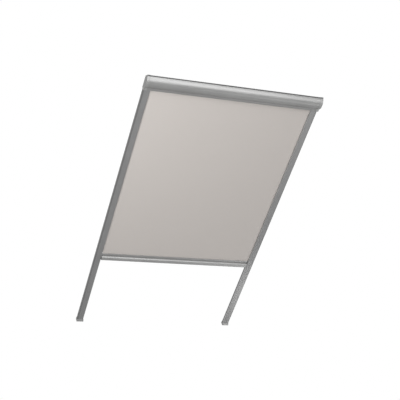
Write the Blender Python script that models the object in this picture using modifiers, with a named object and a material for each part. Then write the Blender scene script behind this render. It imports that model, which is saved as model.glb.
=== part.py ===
"""Roller blind for a roof window.

A cassette across the top holds a sprung roller. The fabric comes down from the back of the roll, runs with
its edges in two side rails and ends in a bottom bar, whose shoes brake in the rails so that the bar stays
where it is put.

Lengths are in metres. +Z runs up along the rails, +X across them and -Y into the room. The origin is the
middle of the cassette's back face, which lies on the window's sash. Outlines across the blind are pairs
(depth, height): depth is measured from the sash into the room, so it is -Y. Outlines of the rails are pairs
(inward, depth): inward is measured from a rail's outer face towards the middle of the blind.
"""

import math

import bmesh
import bpy
from mathutils import Matrix, Vector

# Driving dimensions
RAIL_SPAN = 0.700           # over the outer faces of the two rails
RAIL_FACE = 0.026           # width of a rail's face
RAIL_DEPTH = 0.014
RAIL_BOTTOM = -1.1884
BODY_BOTTOM = -0.0312       # lower edge of the cassette's extrusions
BACK_TOP = 0.0169           # where the cassette's back meets its sloping top
RIDGE_DEPTH = 0.0145        # front end of the sloping top
TOP_SLOPE = math.radians(35.1)
COVER_TOP = (0.0173, 0.0257)
COVER_FOOT = (0.0220, -0.0188)
COVER_BULGE = 0.0098        # how far the cover's arc stands off its chord
LIP_DEPTH = 0.0190
BAR_TOP = -0.8122           # the bar at rest, about two thirds of the way down
BAR_HEIGHT = 0.0288
FABRIC_DEPTH = 0.0065
FABRIC_WIDTH = 0.656
FABRIC_THICKNESS = 0.00022
FABRIC_BELOW_BAR_REST = 0.345   # what can still unroll, and stays on the roll at rest
FABRIC_LAST_TURN = 0.060        # what never leaves the tube
TUBE_RADIUS = 0.0070

# Shared small sizes
GAP = 0.0003                # clearance between touching pieces
WALL = 0.0012               # aluminium extrusions
SHEET = 0.0015              # cassette base
CAP_GROWTH = 0.0008         # how far an end cap stands proud of the cassette
CAP_WALL = 0.0020
CAP_RIM = 0.0100
ARC_STEPS = 16

# Worked out from the sizes above
HALF_SPAN = RAIL_SPAN / 2
BODY_HALF = HALF_SPAN - 2 * GAP
BAR_BOTTOM = BAR_TOP - BAR_HEIGHT
WOUND_LENGTH = FABRIC_BELOW_BAR_REST + FABRIC_LAST_TURN
WOUND_RADIUS = math.sqrt((TUBE_RADIUS + GAP) ** 2 + WOUND_LENGTH * FABRIC_THICKNESS / math.pi)
ROLL_DEPTH = FABRIC_DEPTH + FABRIC_THICKNESS / 2 + WOUND_RADIUS
ROLL_HEIGHT = 0.0020

ALUMINIUM = ("anodised_aluminium", (0.55, 0.56, 0.57), 0.35, 0.9)
RAIL_METAL = ("rail_aluminium", (0.42, 0.42, 0.43), 0.4, 0.9)
PLASTIC = ("silver_plastic", (0.42, 0.43, 0.44), 0.45, 0.2)
DARK_RUBBER = ("grey_rubber", (0.13, 0.13, 0.135), 0.8, 0.0)
CLOTH = ("blackout_fabric", (0.55, 0.52, 0.49), 0.9, 0.0)
STEEL = ("zinc_plated_steel", (0.6, 0.6, 0.58), 0.3, 1.0)
SPRING_STEEL = ("spring_steel", (0.35, 0.35, 0.36), 0.35, 1.0)
NYLON = ("black_nylon", (0.04, 0.04, 0.042), 0.5, 0.0)
PILE = ("grey_pile", (0.25, 0.25, 0.26), 0.95, 0.0)


def clear_scene():
    """Remove what a new Blender file holds."""
    for obj in list(bpy.data.objects):
        bpy.data.objects.remove(obj, do_unlink=True)


clear_scene()
PARTS = bpy.data.collections.new("skylight_blind")
CUTTERS = bpy.data.collections.new("cutters")
bpy.context.scene.collection.children.link(PARTS)
bpy.context.scene.collection.children.link(CUTTERS)


def finish_of(look):
    """The material of one finish, made the first time it is asked for."""
    name, colour, roughness, metallic = look
    material = bpy.data.materials.get(name)
    if material is None:
        material = bpy.data.materials.new(name)
        material.use_nodes = True
        shader = material.node_tree.nodes["Principled BSDF"]
        shader.inputs["Base Color"].default_value = (*colour, 1.0)
        shader.inputs["Roughness"].default_value = roughness
        shader.inputs["Metallic"].default_value = metallic
    return material


def part(name, data, look):
    """Put mesh or curve data into the blind as a named piece."""
    obj = bpy.data.objects.new(name, data)
    data.materials.append(finish_of(look))
    PARTS.objects.link(obj)
    return obj


def cutter(obj):
    """Keep an object as a tool that only shapes another."""
    for collection in list(obj.users_collection):
        collection.objects.unlink(obj)
    CUTTERS.objects.link(obj)
    obj.hide_render = True
    obj.display_type = "WIRE"
    return obj


def shaped(obj, tool, operation="DIFFERENCE"):
    """Cut a tool out of a piece, or join it on."""
    modifier = obj.modifiers.new(tool.name, "BOOLEAN")
    modifier.operation = operation
    modifier.object = cutter(tool)
    return obj


def flat_curve(name, outlines, half_thickness):
    """A filled flat outline, with further outlines as holes, thickened both ways."""
    curve = bpy.data.curves.new(name, "CURVE")
    curve.dimensions = "2D"
    curve.fill_mode = "BOTH"
    curve.extrude = half_thickness
    for outline in outlines:
        spline = curve.splines.new("POLY")
        spline.points.add(len(outline) - 1)
        for point, (a, b) in zip(spline.points, outline):
            point.co = (a, b, 0.0, 1.0)
        spline.use_cyclic_u = True
    return curve


def as_mesh(obj):
    """Turn a curve piece into a welded mesh piece of the same name and place."""
    graph = bpy.context.evaluated_depsgraph_get()
    mesh = bpy.data.meshes.new_from_object(obj.evaluated_get(graph))
    work = bmesh.new()
    work.from_mesh(mesh)
    bmesh.ops.remove_doubles(work, verts=work.verts, dist=1e-6)
    work.to_mesh(mesh)
    work.free()
    name = obj.name
    solid = bpy.data.objects.new(name + "_mesh", mesh)
    solid.matrix_world = obj.matrix_world
    PARTS.objects.link(solid)
    bpy.data.objects.remove(obj, do_unlink=True)
    solid.name = name
    return solid


def across(name, outline, x_from, x_to, look, holes=()):
    """Extrude a (depth, height) outline along X."""
    flat = [[(-depth, height) for depth, height in ring] for ring in (outline, *holes)]
    obj = part(name, flat_curve(name, flat, abs(x_to - x_from) / 2), look)
    turn = Matrix(((0, 0, 1, 0), (1, 0, 0, 0), (0, 1, 0, 0), (0, 0, 0, 1)))
    obj.matrix_world = Matrix.Translation(((x_from + x_to) / 2, 0, 0)) @ turn
    bpy.context.view_layer.update()
    return obj


def upright(name, outline, side, z_from, z_to, look):
    """Extrude an (inward, depth) outline of one side's rail along Z."""
    flat = [(side * (HALF_SPAN - inward), -depth) for inward, depth in outline]
    obj = part(name, flat_curve(name, [flat], abs(z_to - z_from) / 2), look)
    obj.location.z = (z_from + z_to) / 2
    bpy.context.view_layer.update()
    return obj


def box(name, low, high, look=NYLON):
    """A box between two corners."""
    mesh = bpy.data.meshes.new(name)
    work = bmesh.new()
    bmesh.ops.create_cube(work, size=1.0)
    size = [abs(b - a) for a, b in zip(low, high)]
    middle = [(a + b) / 2 for a, b in zip(low, high)]
    bmesh.ops.scale(work, vec=size, verts=work.verts)
    bmesh.ops.translate(work, vec=middle, verts=work.verts)
    work.to_mesh(mesh)
    work.free()
    return part(name, mesh, look)


def rod(name, start, end, radius, look=NYLON, sides=16):
    """A round bar between two points."""
    start, end = Vector(start), Vector(end)
    mesh = bpy.data.meshes.new(name)
    work = bmesh.new()
    bmesh.ops.create_cone(work, cap_ends=True, segments=sides, radius1=radius, radius2=radius,
                          depth=(end - start).length)
    work.to_mesh(mesh)
    work.free()
    mesh.shade_smooth()
    mesh.set_sharp_from_angle(angle=math.radians(40))
    obj = part(name, mesh, look)
    obj.rotation_mode = "QUATERNION"
    obj.rotation_quaternion = (end - start).to_track_quat("Z", "Y")
    obj.location = (start + end) / 2
    bpy.context.view_layer.update()
    return obj


def turned(name, profile, base, direction, look, sides=16):
    """Turn a closed (radius, along) profile about an axis through base; it runs down its outer side."""
    mesh = bpy.data.meshes.new(name)
    points = [(radius, 0.0, along) for radius, along in profile]
    closed = min(radius for radius, _ in profile) > 0
    edges = [(i, i + 1) for i in range(len(points) - 1)]
    if closed:
        edges.append((len(points) - 1, 0))
    mesh.from_pydata(points, edges, [])
    obj = part(name, mesh, look)
    screw = obj.modifiers.new("turn", "SCREW")
    screw.axis = "Z"
    screw.steps = sides
    screw.render_steps = sides
    screw.use_merge_vertices = True
    screw.merge_threshold = 0.00001
    screw.use_smooth_shade = False
    obj.rotation_mode = "QUATERNION"
    obj.rotation_quaternion = Vector(direction).to_track_quat("Z", "Y")
    obj.location = base
    bpy.context.view_layer.update()
    return obj


def ring_profile(outer, inner, length):
    """The profile of a plain sleeve that starts at its axis's zero."""
    return [(outer, length), (outer, 0.0), (inner, 0.0), (inner, length)]


def cover_arc(growth):
    """Centre (depth, height) and radius of the cover's face, moved out by growth."""
    (top_d, top_h), (foot_d, foot_h) = COVER_TOP, COVER_FOOT
    chord = math.hypot(foot_d - top_d, top_h - foot_h)
    radius = (chord ** 2 / 4 + COVER_BULGE ** 2) / (2 * COVER_BULGE)
    forward = ((top_h - foot_h) / chord, (foot_d - top_d) / chord)
    back = radius - COVER_BULGE
    centre = ((top_d + foot_d) / 2 - back * forward[0], (top_h + foot_h) / 2 - back * forward[1])
    return centre, radius + growth


def arc_between(growth, from_height, to_height, steps=ARC_STEPS):
    """Points of the cover's face from one height to another."""
    (depth, height), radius = cover_arc(growth)
    first = math.asin((from_height - height) / radius)
    last = math.asin((to_height - height) / radius)
    angles = [first + (last - first) * i / steps for i in range(steps + 1)]
    return [(depth + radius * math.cos(a), height + radius * math.sin(a)) for a in angles]


def slope_height(depth, growth):
    """Height of the cassette's sloping top at a depth, moved out by growth."""
    return BACK_TOP + depth * math.tan(TOP_SLOPE) + growth / math.cos(TOP_SLOPE)


def cassette_outline(growth, back=0.0):
    """The whole cassette seen from its end, grown all round except at its back."""
    ridge = RIDGE_DEPTH + growth
    top = COVER_TOP[1] + growth
    foot = COVER_FOOT[1] - growth
    return [
        (back, BODY_BOTTOM - growth),
        (back, slope_height(back, growth)),
        (ridge, slope_height(ridge, growth)),
        (ridge, top),
        *arc_between(growth, top, foot),
        (LIP_DEPTH + growth, foot),
        (LIP_DEPTH + growth, BODY_BOTTOM - growth),
    ]


CAP_BOTTOM = BODY_BOTTOM - CAP_GROWTH
RAIL_TOP = CAP_BOTTOM - GAP
CAP_OUTSIDE = HALF_SPAN + CAP_WALL
CAP_INSIDE = HALF_SPAN - CAP_RIM
PORT_RADIUS = 0.00145
BASE_PORT = (0.0040, 0.0146)
LIP_PORT = (0.0142, -0.0272)


def arc(centre, radius, first, last, steps):
    """Points of an arc from one angle in degrees to another."""
    turns = [math.radians(first + (last - first) * i / steps) for i in range(steps + 1)]
    return [(centre[0] + radius * math.cos(t), centre[1] + radius * math.sin(t)) for t in turns]


def circle(centre, radius, sides=10):
    """Points round a circle."""
    return arc(centre, radius, 0, 360, sides)[:-1]


def make_cassette_base():
    """Back plate and sloping top in one extrusion, with a screw port and holes for the sash screws."""
    flange_foot = COVER_TOP[1] - 0.0042
    drop = SHEET / math.cos(TOP_SLOPE)
    port_front = 0.0066
    port_foot = 0.0114
    outline = [
        (0.0, BODY_BOTTOM),
        (0.0, BACK_TOP),
        (RIDGE_DEPTH, slope_height(RIDGE_DEPTH, 0)),
        (RIDGE_DEPTH, flange_foot),
        (RIDGE_DEPTH - SHEET, flange_foot),
        (RIDGE_DEPTH - SHEET, slope_height(RIDGE_DEPTH - SHEET, 0) - drop),
        (port_front, slope_height(port_front, 0) - drop),
        (port_front, port_foot),
        (SHEET, port_foot),
        (SHEET, BODY_BOTTOM),
    ]
    hole = circle(BASE_PORT, PORT_RADIUS)
    base = as_mesh(across("cassette_base", outline, -BODY_HALF, BODY_HALF, ALUMINIUM, [hole]))
    for index, x in enumerate((-0.270, -0.090, 0.090, 0.270)):
        shaped(base, rod(f"sash_hole_{index}", (x, 0.002, -0.012), (x, -0.004, -0.012), 0.0022, sides=12))


def make_cassette_cover():
    """The convex front shell, whose edges return to the base's flange and over the lip's edge."""
    top = COVER_TOP[1]
    foot = COVER_FOOT[1]
    hook_depth = RIDGE_DEPTH + GAP
    foot_hook_depth = 0.0198
    outer = arc_between(0, top, foot)
    inner = arc_between(-WALL, top - WALL, foot + WALL)
    outline = [
        (hook_depth, top),
        *outer,
        (foot_hook_depth, foot),
        (foot_hook_depth, foot + WALL),
        *reversed(inner),
        (hook_depth, top - WALL),
    ]
    across("cassette_cover", outline, -BODY_HALF, BODY_HALF, ALUMINIUM)


def make_cassette_lip():
    """The strip under the cover; the fabric comes out behind it."""
    back = FABRIC_DEPTH + 0.0027
    top = COVER_FOOT[1] - 0.0006
    floor = BODY_BOTTOM + WALL
    port = (0.0118, 0.0166)
    port_top = -0.0242
    outline = [
        (back, BODY_BOTTOM),
        (LIP_DEPTH, BODY_BOTTOM),
        (LIP_DEPTH, top),
        (LIP_DEPTH - 0.0036, top),
        (LIP_DEPTH - 0.0036, top - WALL),
        (LIP_DEPTH - WALL, top - WALL),
        (LIP_DEPTH - WALL, floor),
        (port[1], floor),
        (port[1], port_top),
        (port[0], port_top),
        (port[0], floor),
        (back + WALL, floor),
        (back + WALL, port_top),
        (back, port_top),
    ]
    across("cassette_lip", outline, -BODY_HALF, BODY_HALF, ALUMINIUM, [circle(LIP_PORT, PORT_RADIUS)])
    brush_back = back - GAP
    brush = [
        (FABRIC_DEPTH + 0.0005, -0.0298),
        (brush_back, -0.0310),
        (brush_back, -0.0262),
        (FABRIC_DEPTH + 0.0005, -0.0274),
    ]
    across("exit_brush", brush, -CAP_INSIDE + GAP, CAP_INSIDE - GAP, PILE)


def seal_outline(depth_growth, top, foot):
    """The top seal: a strip in front of the base's flange that hooks over it."""
    back = RIDGE_DEPTH + depth_growth + GAP
    front = COVER_TOP[0] + depth_growth
    hook = back - 0.0012
    hook_foot = slope_height(back - GAP, depth_growth) + GAP
    return [
        (back, foot),
        (front, foot),
        (front, top - 0.0007),
        (front - 0.0007, top),
        (hook, top),
        (hook, hook_foot),
        (back, hook_foot),
    ]


def make_top_seal():
    """The dark strip along the top edge, and the block that ends it on each cap."""
    across("top_seal", seal_outline(0, 0.0286, COVER_TOP[1] + GAP),
           -CAP_INSIDE + GAP, CAP_INSIDE - GAP, DARK_RUBBER)
    foot = COVER_TOP[1] + CAP_GROWTH + GAP
    for side, word in ((-1, "left"), (1, "right")):
        across(f"seal_corner_{word}", seal_outline(CAP_GROWTH, 0.0297, foot),
               side * CAP_INSIDE, side * (CAP_OUTSIDE - 0.0008), DARK_RUBBER)


def make_end_cap(side, word, bore):
    """A moulded cap: end wall, rim round the cassette, boss for the roller's pin, spigot for the rail."""
    cap = as_mesh(across(f"end_cap_{word}", cassette_outline(CAP_GROWTH),
                         side * CAP_INSIDE, side * CAP_OUTSIDE, PLASTIC))
    pocket = as_mesh(across(f"cap_pocket_{word}", cassette_outline(GAP, back=-0.001),
                            side * (CAP_INSIDE - 0.001), side * (HALF_SPAN - 0.0002), PLASTIC))
    shaped(cap, pocket)
    y, z = -ROLL_DEPTH, ROLL_HEIGHT
    boss_face = side * 0.3410
    shaped(cap, rod(f"cap_boss_{word}", (boss_face, y, z), (side * 0.3505, y, z), 0.0058, sides=20), "UNION")
    shaped(cap, rod(f"cap_bore_{word}", (side * 0.3400, y, z), (side * 0.3490, y, z), bore, sides=20))
    spigot_in, spigot_out = HALF_SPAN - 0.0112, HALF_SPAN - 0.0030
    shaped(cap, box(f"cap_spigot_{word}", (side * spigot_in, -0.0018, CAP_BOTTOM - 0.012),
                    (side * spigot_out, -0.0120, CAP_BOTTOM + 0.0003)), "UNION")
    for index, (depth, height) in enumerate((BASE_PORT, LIP_PORT)):
        inner, face = side * 0.3490, side * (CAP_OUTSIDE - 0.0012)
        shaped(cap, rod(f"screw_hole_{word}_{index}", (inner, -depth, height),
                        (side * 0.3530, -depth, height), 0.0016, sides=10))
        shaped(cap, rod(f"screw_sink_{word}_{index}", (face, -depth, height),
                        (side * 0.3530, -depth, height), 0.0028, sides=14))
        head_top = CAP_OUTSIDE - 0.0001
        head = 0.0008
        profile = [(0.0, 0.0), (0.0025, 0.0), (0.0025, -head), (0.0011, -head), (0.0011, -0.0100),
                   (0.0, -0.0100)]
        turned(f"cap_screw_{word}_{index + 1}", profile, (side * head_top, -depth, height),
               (side, 0, 0), STEEL, sides=12)


RAIL_SLOT = (0.0046, 0.0075)    # the slot that the fabric's edge and the shoe's tongue run in
RAIL_EDGE = 0.0022              # radius of the two long edges of a rail's face
WEB = (0.0118, 0.0129)          # the wall between a rail's screw chamber and its running channel


def make_rail(side, word):
    """One side rail: a base that is screwed to the sash, a cover pushed over it, and a pile strip."""
    lip = RAIL_FACE - 0.0011
    edge_depth = RAIL_DEPTH - RAIL_EDGE
    cover = [
        (0.0, 0.0), *arc((RAIL_EDGE, edge_depth), RAIL_EDGE, 180, 90, 4),
        *arc((RAIL_FACE - RAIL_EDGE, edge_depth), RAIL_EDGE, 90, 0, 4), (RAIL_FACE, RAIL_SLOT[1]),
        (lip, RAIL_SLOT[1]), (lip, RAIL_DEPTH - WALL), (0.0011, RAIL_DEPTH - WALL), (0.0011, 0.0),
    ]
    upright(f"rail_cover_{word}", cover, side, RAIL_BOTTOM + GAP, RAIL_TOP, RAIL_METAL)
    web_top = RAIL_DEPTH - WALL - GAP
    base = [
        (0.0014, 0.0), (RAIL_FACE, 0.0), (RAIL_FACE, RAIL_SLOT[0]), (lip, RAIL_SLOT[0]), (lip, WALL),
        (WEB[1], WALL), (WEB[1], web_top), (WEB[0], web_top), (WEB[0], WALL),
        (0.0024, WALL), (0.0024, 0.0060), (0.0014, 0.0060),
    ]
    solid = as_mesh(upright(f"rail_base_{word}", base, side, RAIL_BOTTOM + GAP, RAIL_TOP, RAIL_METAL))
    x = side * (HALF_SPAN - 0.0068)
    for index, z in enumerate((-0.080, -0.610, -1.140)):
        shaped(solid, rod(f"rail_hole_{word}_{index}", (x, 0.002, z), (x, -0.004, z), 0.0022, sides=12))
    pile_foot, pile_top = FABRIC_DEPTH + 0.0009, 0.0095
    pile = [(lip - 0.0013, pile_foot), (lip - GAP, pile_foot), (lip - GAP, pile_top), (lip - 0.0013, pile_top)]
    upright(f"rail_pile_{word}", pile, side, RAIL_BOTTOM + GAP, RAIL_TOP, PILE)


FOOT_TOP = RAIL_BOTTOM + 0.0080
FOOT_BOTTOM = RAIL_BOTTOM - 0.0030
FOOT_BAND = 0.0034              # height of the foot's straight lower band
FOOT_PROUD = (0.0020, 0.0040)   # how far the band stands off the rail's sides and face
FOOT_BRIM = 0.0007              # how far the drawn-in top edge stands off them


def make_rail_foot(side, word):
    """A moulded cup over the lower end of a rail: a straight band, drawn in above it to the rail."""
    proud = FOOT_PROUD[0]
    chamfer = 0.0012
    face = RAIL_DEPTH + FOOT_PROUD[1]
    outline = [(-proud, 0.0), (-proud, face - chamfer), (chamfer - proud, face),
               (RAIL_FACE + proud - chamfer, face), (RAIL_FACE + proud, face - chamfer),
               (RAIL_FACE + proud, 0.0)]
    foot = as_mesh(upright(f"rail_foot_{word}", outline, side, FOOT_BOTTOM, FOOT_TOP, PLASTIC))
    half = RAIL_FACE / 2
    middle = side * (HALF_SPAN - half)
    shoulder = FOOT_BOTTOM + FOOT_BAND - (FOOT_BOTTOM + FOOT_TOP) / 2
    work = bmesh.new()
    work.from_mesh(foot.data)
    bmesh.ops.bisect_plane(work, geom=[*work.verts, *work.edges, *work.faces], dist=1e-6,
                           plane_co=(0, 0, shoulder), plane_no=(0, 0, 1))
    above = [vertex for vertex in work.verts if vertex.co.z > shoulder + GAP]
    draw = ((half + FOOT_BRIM) / (half + proud), (RAIL_DEPTH + FOOT_BRIM) / face, 1.0)
    bmesh.ops.scale(work, vec=draw, space=Matrix.Translation((-middle, 0, 0)), verts=above)
    work.to_mesh(foot.data)
    work.free()
    outer = side * (HALF_SPAN + GAP)
    inner = side * (HALF_SPAN - RAIL_FACE - GAP)
    shaped(foot, box(f"foot_pocket_{word}", (outer, 0.001, RAIL_BOTTOM),
                     (inner, -RAIL_DEPTH - GAP, FOOT_TOP + 0.001)))


def make_roller():
    """Tube, its two plugs, and the fabric still wound on it. All turn together about the tube's axis."""
    y, z = -ROLL_DEPTH, ROLL_HEIGHT
    tube_half = 0.3360
    bore = TUBE_RADIUS - 0.0008
    turned("roller_tube", ring_profile(TUBE_RADIUS, bore, 2 * tube_half), (-tube_half, y, z), (1, 0, 0),
           ALUMINIUM, sides=24)
    turned("wound_fabric", ring_profile(WOUND_RADIUS, TUBE_RADIUS + GAP, FABRIC_WIDTH),
           (-FABRIC_WIDTH / 2, y, z), (1, 0, 0), CLOTH, sides=32)
    body = bore - GAP
    flange = 0.0020
    length = 0.0220
    for side, name, hole in ((-1, "drive_plug", 0.0034), (1, "idle_plug", 0.0024)):
        profile = [(body, length), (body, GAP + flange), (TUBE_RADIUS + 0.0004, GAP + flange - 0.0002),
                   (TUBE_RADIUS + 0.0004, 0.0), (hole, 0.0), (hole, length)]
        turned(name, profile, (side * (tube_half + 2 * GAP + flange), y, z), (-side, 0, 0), NYLON, sides=20)


SHAFT_RADIUS = 0.0030
SHAFT_END = -0.090
SPRING_RADIUS = 0.0049
SPRING_WIRE = 0.0006
SPRING_TURNS = 20
SPRING_POINTS = 9           # points on one turn


def spring_path():
    """Points along the torsion spring, a steady helix round the shaft."""
    start, end = -0.312, -0.102
    count = SPRING_TURNS * SPRING_POINTS
    points = []
    for i in range(count + 1):
        turn = 2 * math.pi * i / SPRING_POINTS
        points.append(Vector((start + (end - start) * i / count,
                              -ROLL_DEPTH + SPRING_RADIUS * math.cos(turn),
                              ROLL_HEIGHT + SPRING_RADIUS * math.sin(turn))))
    return points


def least_gap(points, diameter, apart):
    """The least space between stretches of a wound wire that are at least so many points apart."""
    gaps = [(b - a).length for i, a in enumerate(points) for b in points[i + apart:]]
    return min(gaps) - diameter


def make_spring():
    """The torsion spring, its fixed shaft in the left cap, and the collar that holds its inner end."""
    y, z = -ROLL_DEPTH, ROLL_HEIGHT
    points = spring_path()
    curve = bpy.data.curves.new("torsion_spring", "CURVE")
    curve.dimensions = "3D"
    curve.bevel_depth = SPRING_WIRE
    curve.bevel_resolution = 1
    curve.use_fill_caps = True
    spline = curve.splines.new("POLY")
    spline.points.add(len(points) - 1)
    for point, place in zip(spline.points, points):
        point.co = (*place, 1.0)
    part("torsion_spring", curve, SPRING_STEEL)
    gap = least_gap(points, 2 * SPRING_WIRE, SPRING_POINTS // 2)
    print(f"least gap between the torsion spring's turns: {gap * 1000:.2f} mm")
    rod("spring_shaft", (-0.3485, y, z), (SHAFT_END, y, z), SHAFT_RADIUS, STEEL, sides=16)
    turned("spring_anchor", ring_profile(0.0057, SHAFT_RADIUS + GAP, 0.0060), (-0.0985, y, z), (1, 0, 0),
           NYLON, sides=16)
    rod("idle_pin", (0.3220, y, z), (0.3485, y, z), 0.0020, STEEL, sides=16)


FABRIC_TOP = ROLL_HEIGHT - 0.0030
FABRIC_END = BAR_TOP - 0.0156
BAR_HALF = HALF_SPAN - RAIL_FACE - 0.0025


def make_fabric_sheet():
    """The hanging fabric, from the back of the roll into the bottom bar's groove."""
    wide = FABRIC_WIDTH / 2
    narrow = BAR_HALF - 0.0010
    notch = BAR_TOP + 0.0040
    outline = [(-narrow, FABRIC_END), (narrow, FABRIC_END), (narrow, notch), (wide, notch),
               (wide, FABRIC_TOP), (-wide, FABRIC_TOP), (-wide, notch), (-narrow, notch)]
    sheet = part("fabric_sheet", flat_curve("fabric_sheet", [outline], FABRIC_THICKNESS / 2), CLOTH)
    sheet.rotation_euler.x = math.pi / 2
    sheet.location.y = -FABRIC_DEPTH


BAR_STEP = 0.0140           # height of the thin upper flange at the back
BAR_BROW = 0.0105           # and at the front, where a quarter round leads out to the grip
BAR_BACK = 0.0032
BAR_FRONT = 0.0164
BAR_FLANGE = (0.0048, 0.0084)
BAR_CORNER = 0.0008
BAR_WALL = 0.0012
BROW_RADIUS = BAR_FRONT - BAR_FLANGE[1]
BROW_CENTRE = (BAR_FLANGE[1], -BAR_BROW - BROW_RADIUS)
TONGUE = (0.0059, 0.0071)
TONGUE_TOP = -0.0215
TONGUE_BOTTOM = -0.0273


def below_top(outline):
    """Move an outline whose heights are measured from the bar's top edge to where the bar hangs."""
    return [(depth, BAR_TOP + height) for depth, height in outline]


def bar_body():
    """The lower part of the bar's outline, from the brow at the front round to the back."""
    return [*arc(BROW_CENTRE, BROW_RADIUS, 90, 0, 8), (BAR_FRONT, BAR_CORNER - BAR_HEIGHT),
            (BAR_FRONT - BAR_CORNER, -BAR_HEIGHT), (BAR_BACK + BAR_CORNER, -BAR_HEIGHT),
            (BAR_BACK, BAR_CORNER - BAR_HEIGHT), (BAR_BACK, -BAR_STEP - BAR_CORNER),
            (BAR_BACK + BAR_CORNER, -BAR_STEP), (BAR_FLANGE[0], -BAR_STEP)]


def make_bottom_bar():
    """The bar: a thin flange with the fabric's groove over a hollow grip, and the rod that locks the fabric."""
    slot = (FABRIC_DEPTH - 0.00045, FABRIC_DEPTH + 0.00045)
    pocket_top, pocket_foot = -0.0158, -0.0202
    pocket = (BAR_BACK + BAR_WALL + 0.0002, BAR_FLANGE[1])
    flange = [(BAR_FLANGE[0], 0.0), (slot[0], 0.0), (slot[0], pocket_top), (pocket[0], pocket_top),
              (pocket[0], pocket_foot), (pocket[1], pocket_foot), (pocket[1], pocket_top),
              (slot[1], pocket_top), (slot[1], 0.0), (BAR_FLANGE[1], 0.0)]
    floor = BAR_WALL - BAR_HEIGHT
    tongue_room = [(pocket[0], TONGUE_TOP + GAP), (pocket[1], TONGUE_TOP + GAP),
                   (pocket[1], floor), (pocket[0], floor)]
    roof_radius = BROW_RADIUS - BAR_WALL
    roof_start = math.degrees(math.acos(BAR_WALL / roof_radius))
    grip_room = [*arc(BROW_CENTRE, roof_radius, roof_start, 0, 6),
                 (BAR_FRONT - BAR_WALL, floor), (pocket[1] + BAR_WALL, floor)]
    bar = as_mesh(across("bottom_bar", below_top(flange + bar_body()), -BAR_HALF, BAR_HALF, ALUMINIUM,
                         [below_top(tongue_room), below_top(grip_room)]))
    x, z = BAR_HALF - 0.0100, BAR_TOP + (TONGUE_TOP + TONGUE_BOTTOM) / 2
    for side in (-1, 1):
        shaped(bar, rod(f"tongue_screw_hole_{side}", (side * x, -0.0020, z), (side * x, -0.0050, z),
                        0.0013, sides=10))
    y, height = -FABRIC_DEPTH, BAR_TOP - 0.0180
    rod("fabric_spline", (-BAR_HALF, y, height), (BAR_HALF, y, height), 0.0015, NYLON, sides=12)


def make_bar_end(side, word):
    """The plate that closes one end of the bar, with a slot for the shoe's tongue."""
    outline = [(BAR_FLANGE[0], 0.0), (BAR_FLANGE[1], 0.0), *bar_body()]
    inner, outer = BAR_HALF + GAP, BAR_HALF + 0.0018
    plate = as_mesh(across(f"bar_end_{word}", below_top(outline), side * inner, side * outer, PLASTIC))
    shaped(plate, box(f"tongue_slot_{word}",
                      (side * (inner - 0.001), -TONGUE[0] + GAP, BAR_TOP + TONGUE_TOP + GAP),
                      (side * (outer + 0.001), -TONGUE[1] - GAP, BAR_TOP + TONGUE_BOTTOM - GAP)))


SHOE = (0.0134, 0.0230)         # inward range of the shoe's block in the running channel
SHOE_DEPTH = (0.0020, 0.0098)


def make_shoe(side, word):
    """A guide shoe: a block in the rail, a leg behind the fabric's edge and a tongue into the bar."""
    outer, inner = side * (HALF_SPAN - SHOE[0]), side * (HALF_SPAN - SHOE[1])
    top, bottom = BAR_TOP + 0.0020, BAR_BOTTOM + 0.0010
    shoe = box(f"guide_shoe_{word}", (outer, -SHOE_DEPTH[0], bottom), (inner, -SHOE_DEPTH[1], top), NYLON)
    leg_inner = side * (HALF_SPAN - 0.0215)
    shaped(shoe, box(f"shoe_leg_{word}", (outer, -SHOE_DEPTH[0], top - 0.004),
                     (leg_inner, -0.0056, BAR_TOP + 0.0340)), "UNION")
    tip = side * (BAR_HALF - 0.0175)
    z_low, z_high = BAR_TOP + TONGUE_BOTTOM, BAR_TOP + TONGUE_TOP
    shaped(shoe, box(f"shoe_tongue_{word}", (side * (HALF_SPAN - SHOE[1] + 0.002), -TONGUE[0], z_low),
                     (tip, -TONGUE[1], z_high)), "UNION")
    x, z = side * (BAR_HALF - 0.0100), (z_low + z_high) / 2
    shaped(shoe, rod(f"tongue_hole_{word}", (x, -0.0050, z), (x, -0.0080, z), 0.0013, sides=10))
    head = 0.0010
    profile = [(0.0, head), (0.0024, head), (0.0024, 0.0), (0.0010, 0.0), (0.0010, -0.0048), (0.0, -0.0048)]
    turned(f"shoe_screw_{word}", profile, (x, -BAR_BACK + GAP, z), (0, 1, 0), STEEL, sides=10)


def make_brake(side, word):
    """The leaf spring and felt pad that press a shoe against the inside of its rail's face."""
    middle = (BAR_TOP + BAR_BOTTOM) / 2
    reach = 0.0105
    bow, leaf, steps = 0.0006, 0.0003, 8
    low_depth = SHOE_DEPTH[1] + GAP
    rises = [math.cos(math.pi / 2 * (2 * i / steps - 1)) for i in range(steps + 1)]
    heights = [middle + reach * (2 * i / steps - 1) for i in range(steps + 1)]
    near = [(low_depth + bow * rise, height) for rise, height in zip(rises, heights)]
    far = [(depth + leaf, height) for depth, height in reversed(near)]
    inner, outer = HALF_SPAN - 0.0212, HALF_SPAN - 0.0152
    across(f"brake_spring_{word}", near + far, side * inner, side * outer, SPRING_STEEL)
    pad_back = low_depth + bow + leaf + GAP
    pad_front = RAIL_DEPTH - WALL - GAP
    box(f"brake_pad_{word}", (side * (HALF_SPAN - 0.0222), -pad_back, middle - 0.0085),
        (side * (HALF_SPAN - 0.0142), -pad_front, middle + 0.0085), DARK_RUBBER)


make_cassette_base()
make_cassette_cover()
make_cassette_lip()
make_top_seal()
make_roller()
make_spring()
make_fabric_sheet()
make_bottom_bar()
for SIDE, WORD, PIN_BORE in ((-1, "left", SHAFT_RADIUS + GAP), (1, "right", 0.0023)):
    make_end_cap(SIDE, WORD, PIN_BORE)
    make_rail(SIDE, WORD)
    make_rail_foot(SIDE, WORD)
    make_bar_end(SIDE, WORD)
    make_shoe(SIDE, WORD)
    make_brake(SIDE, WORD)
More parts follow.
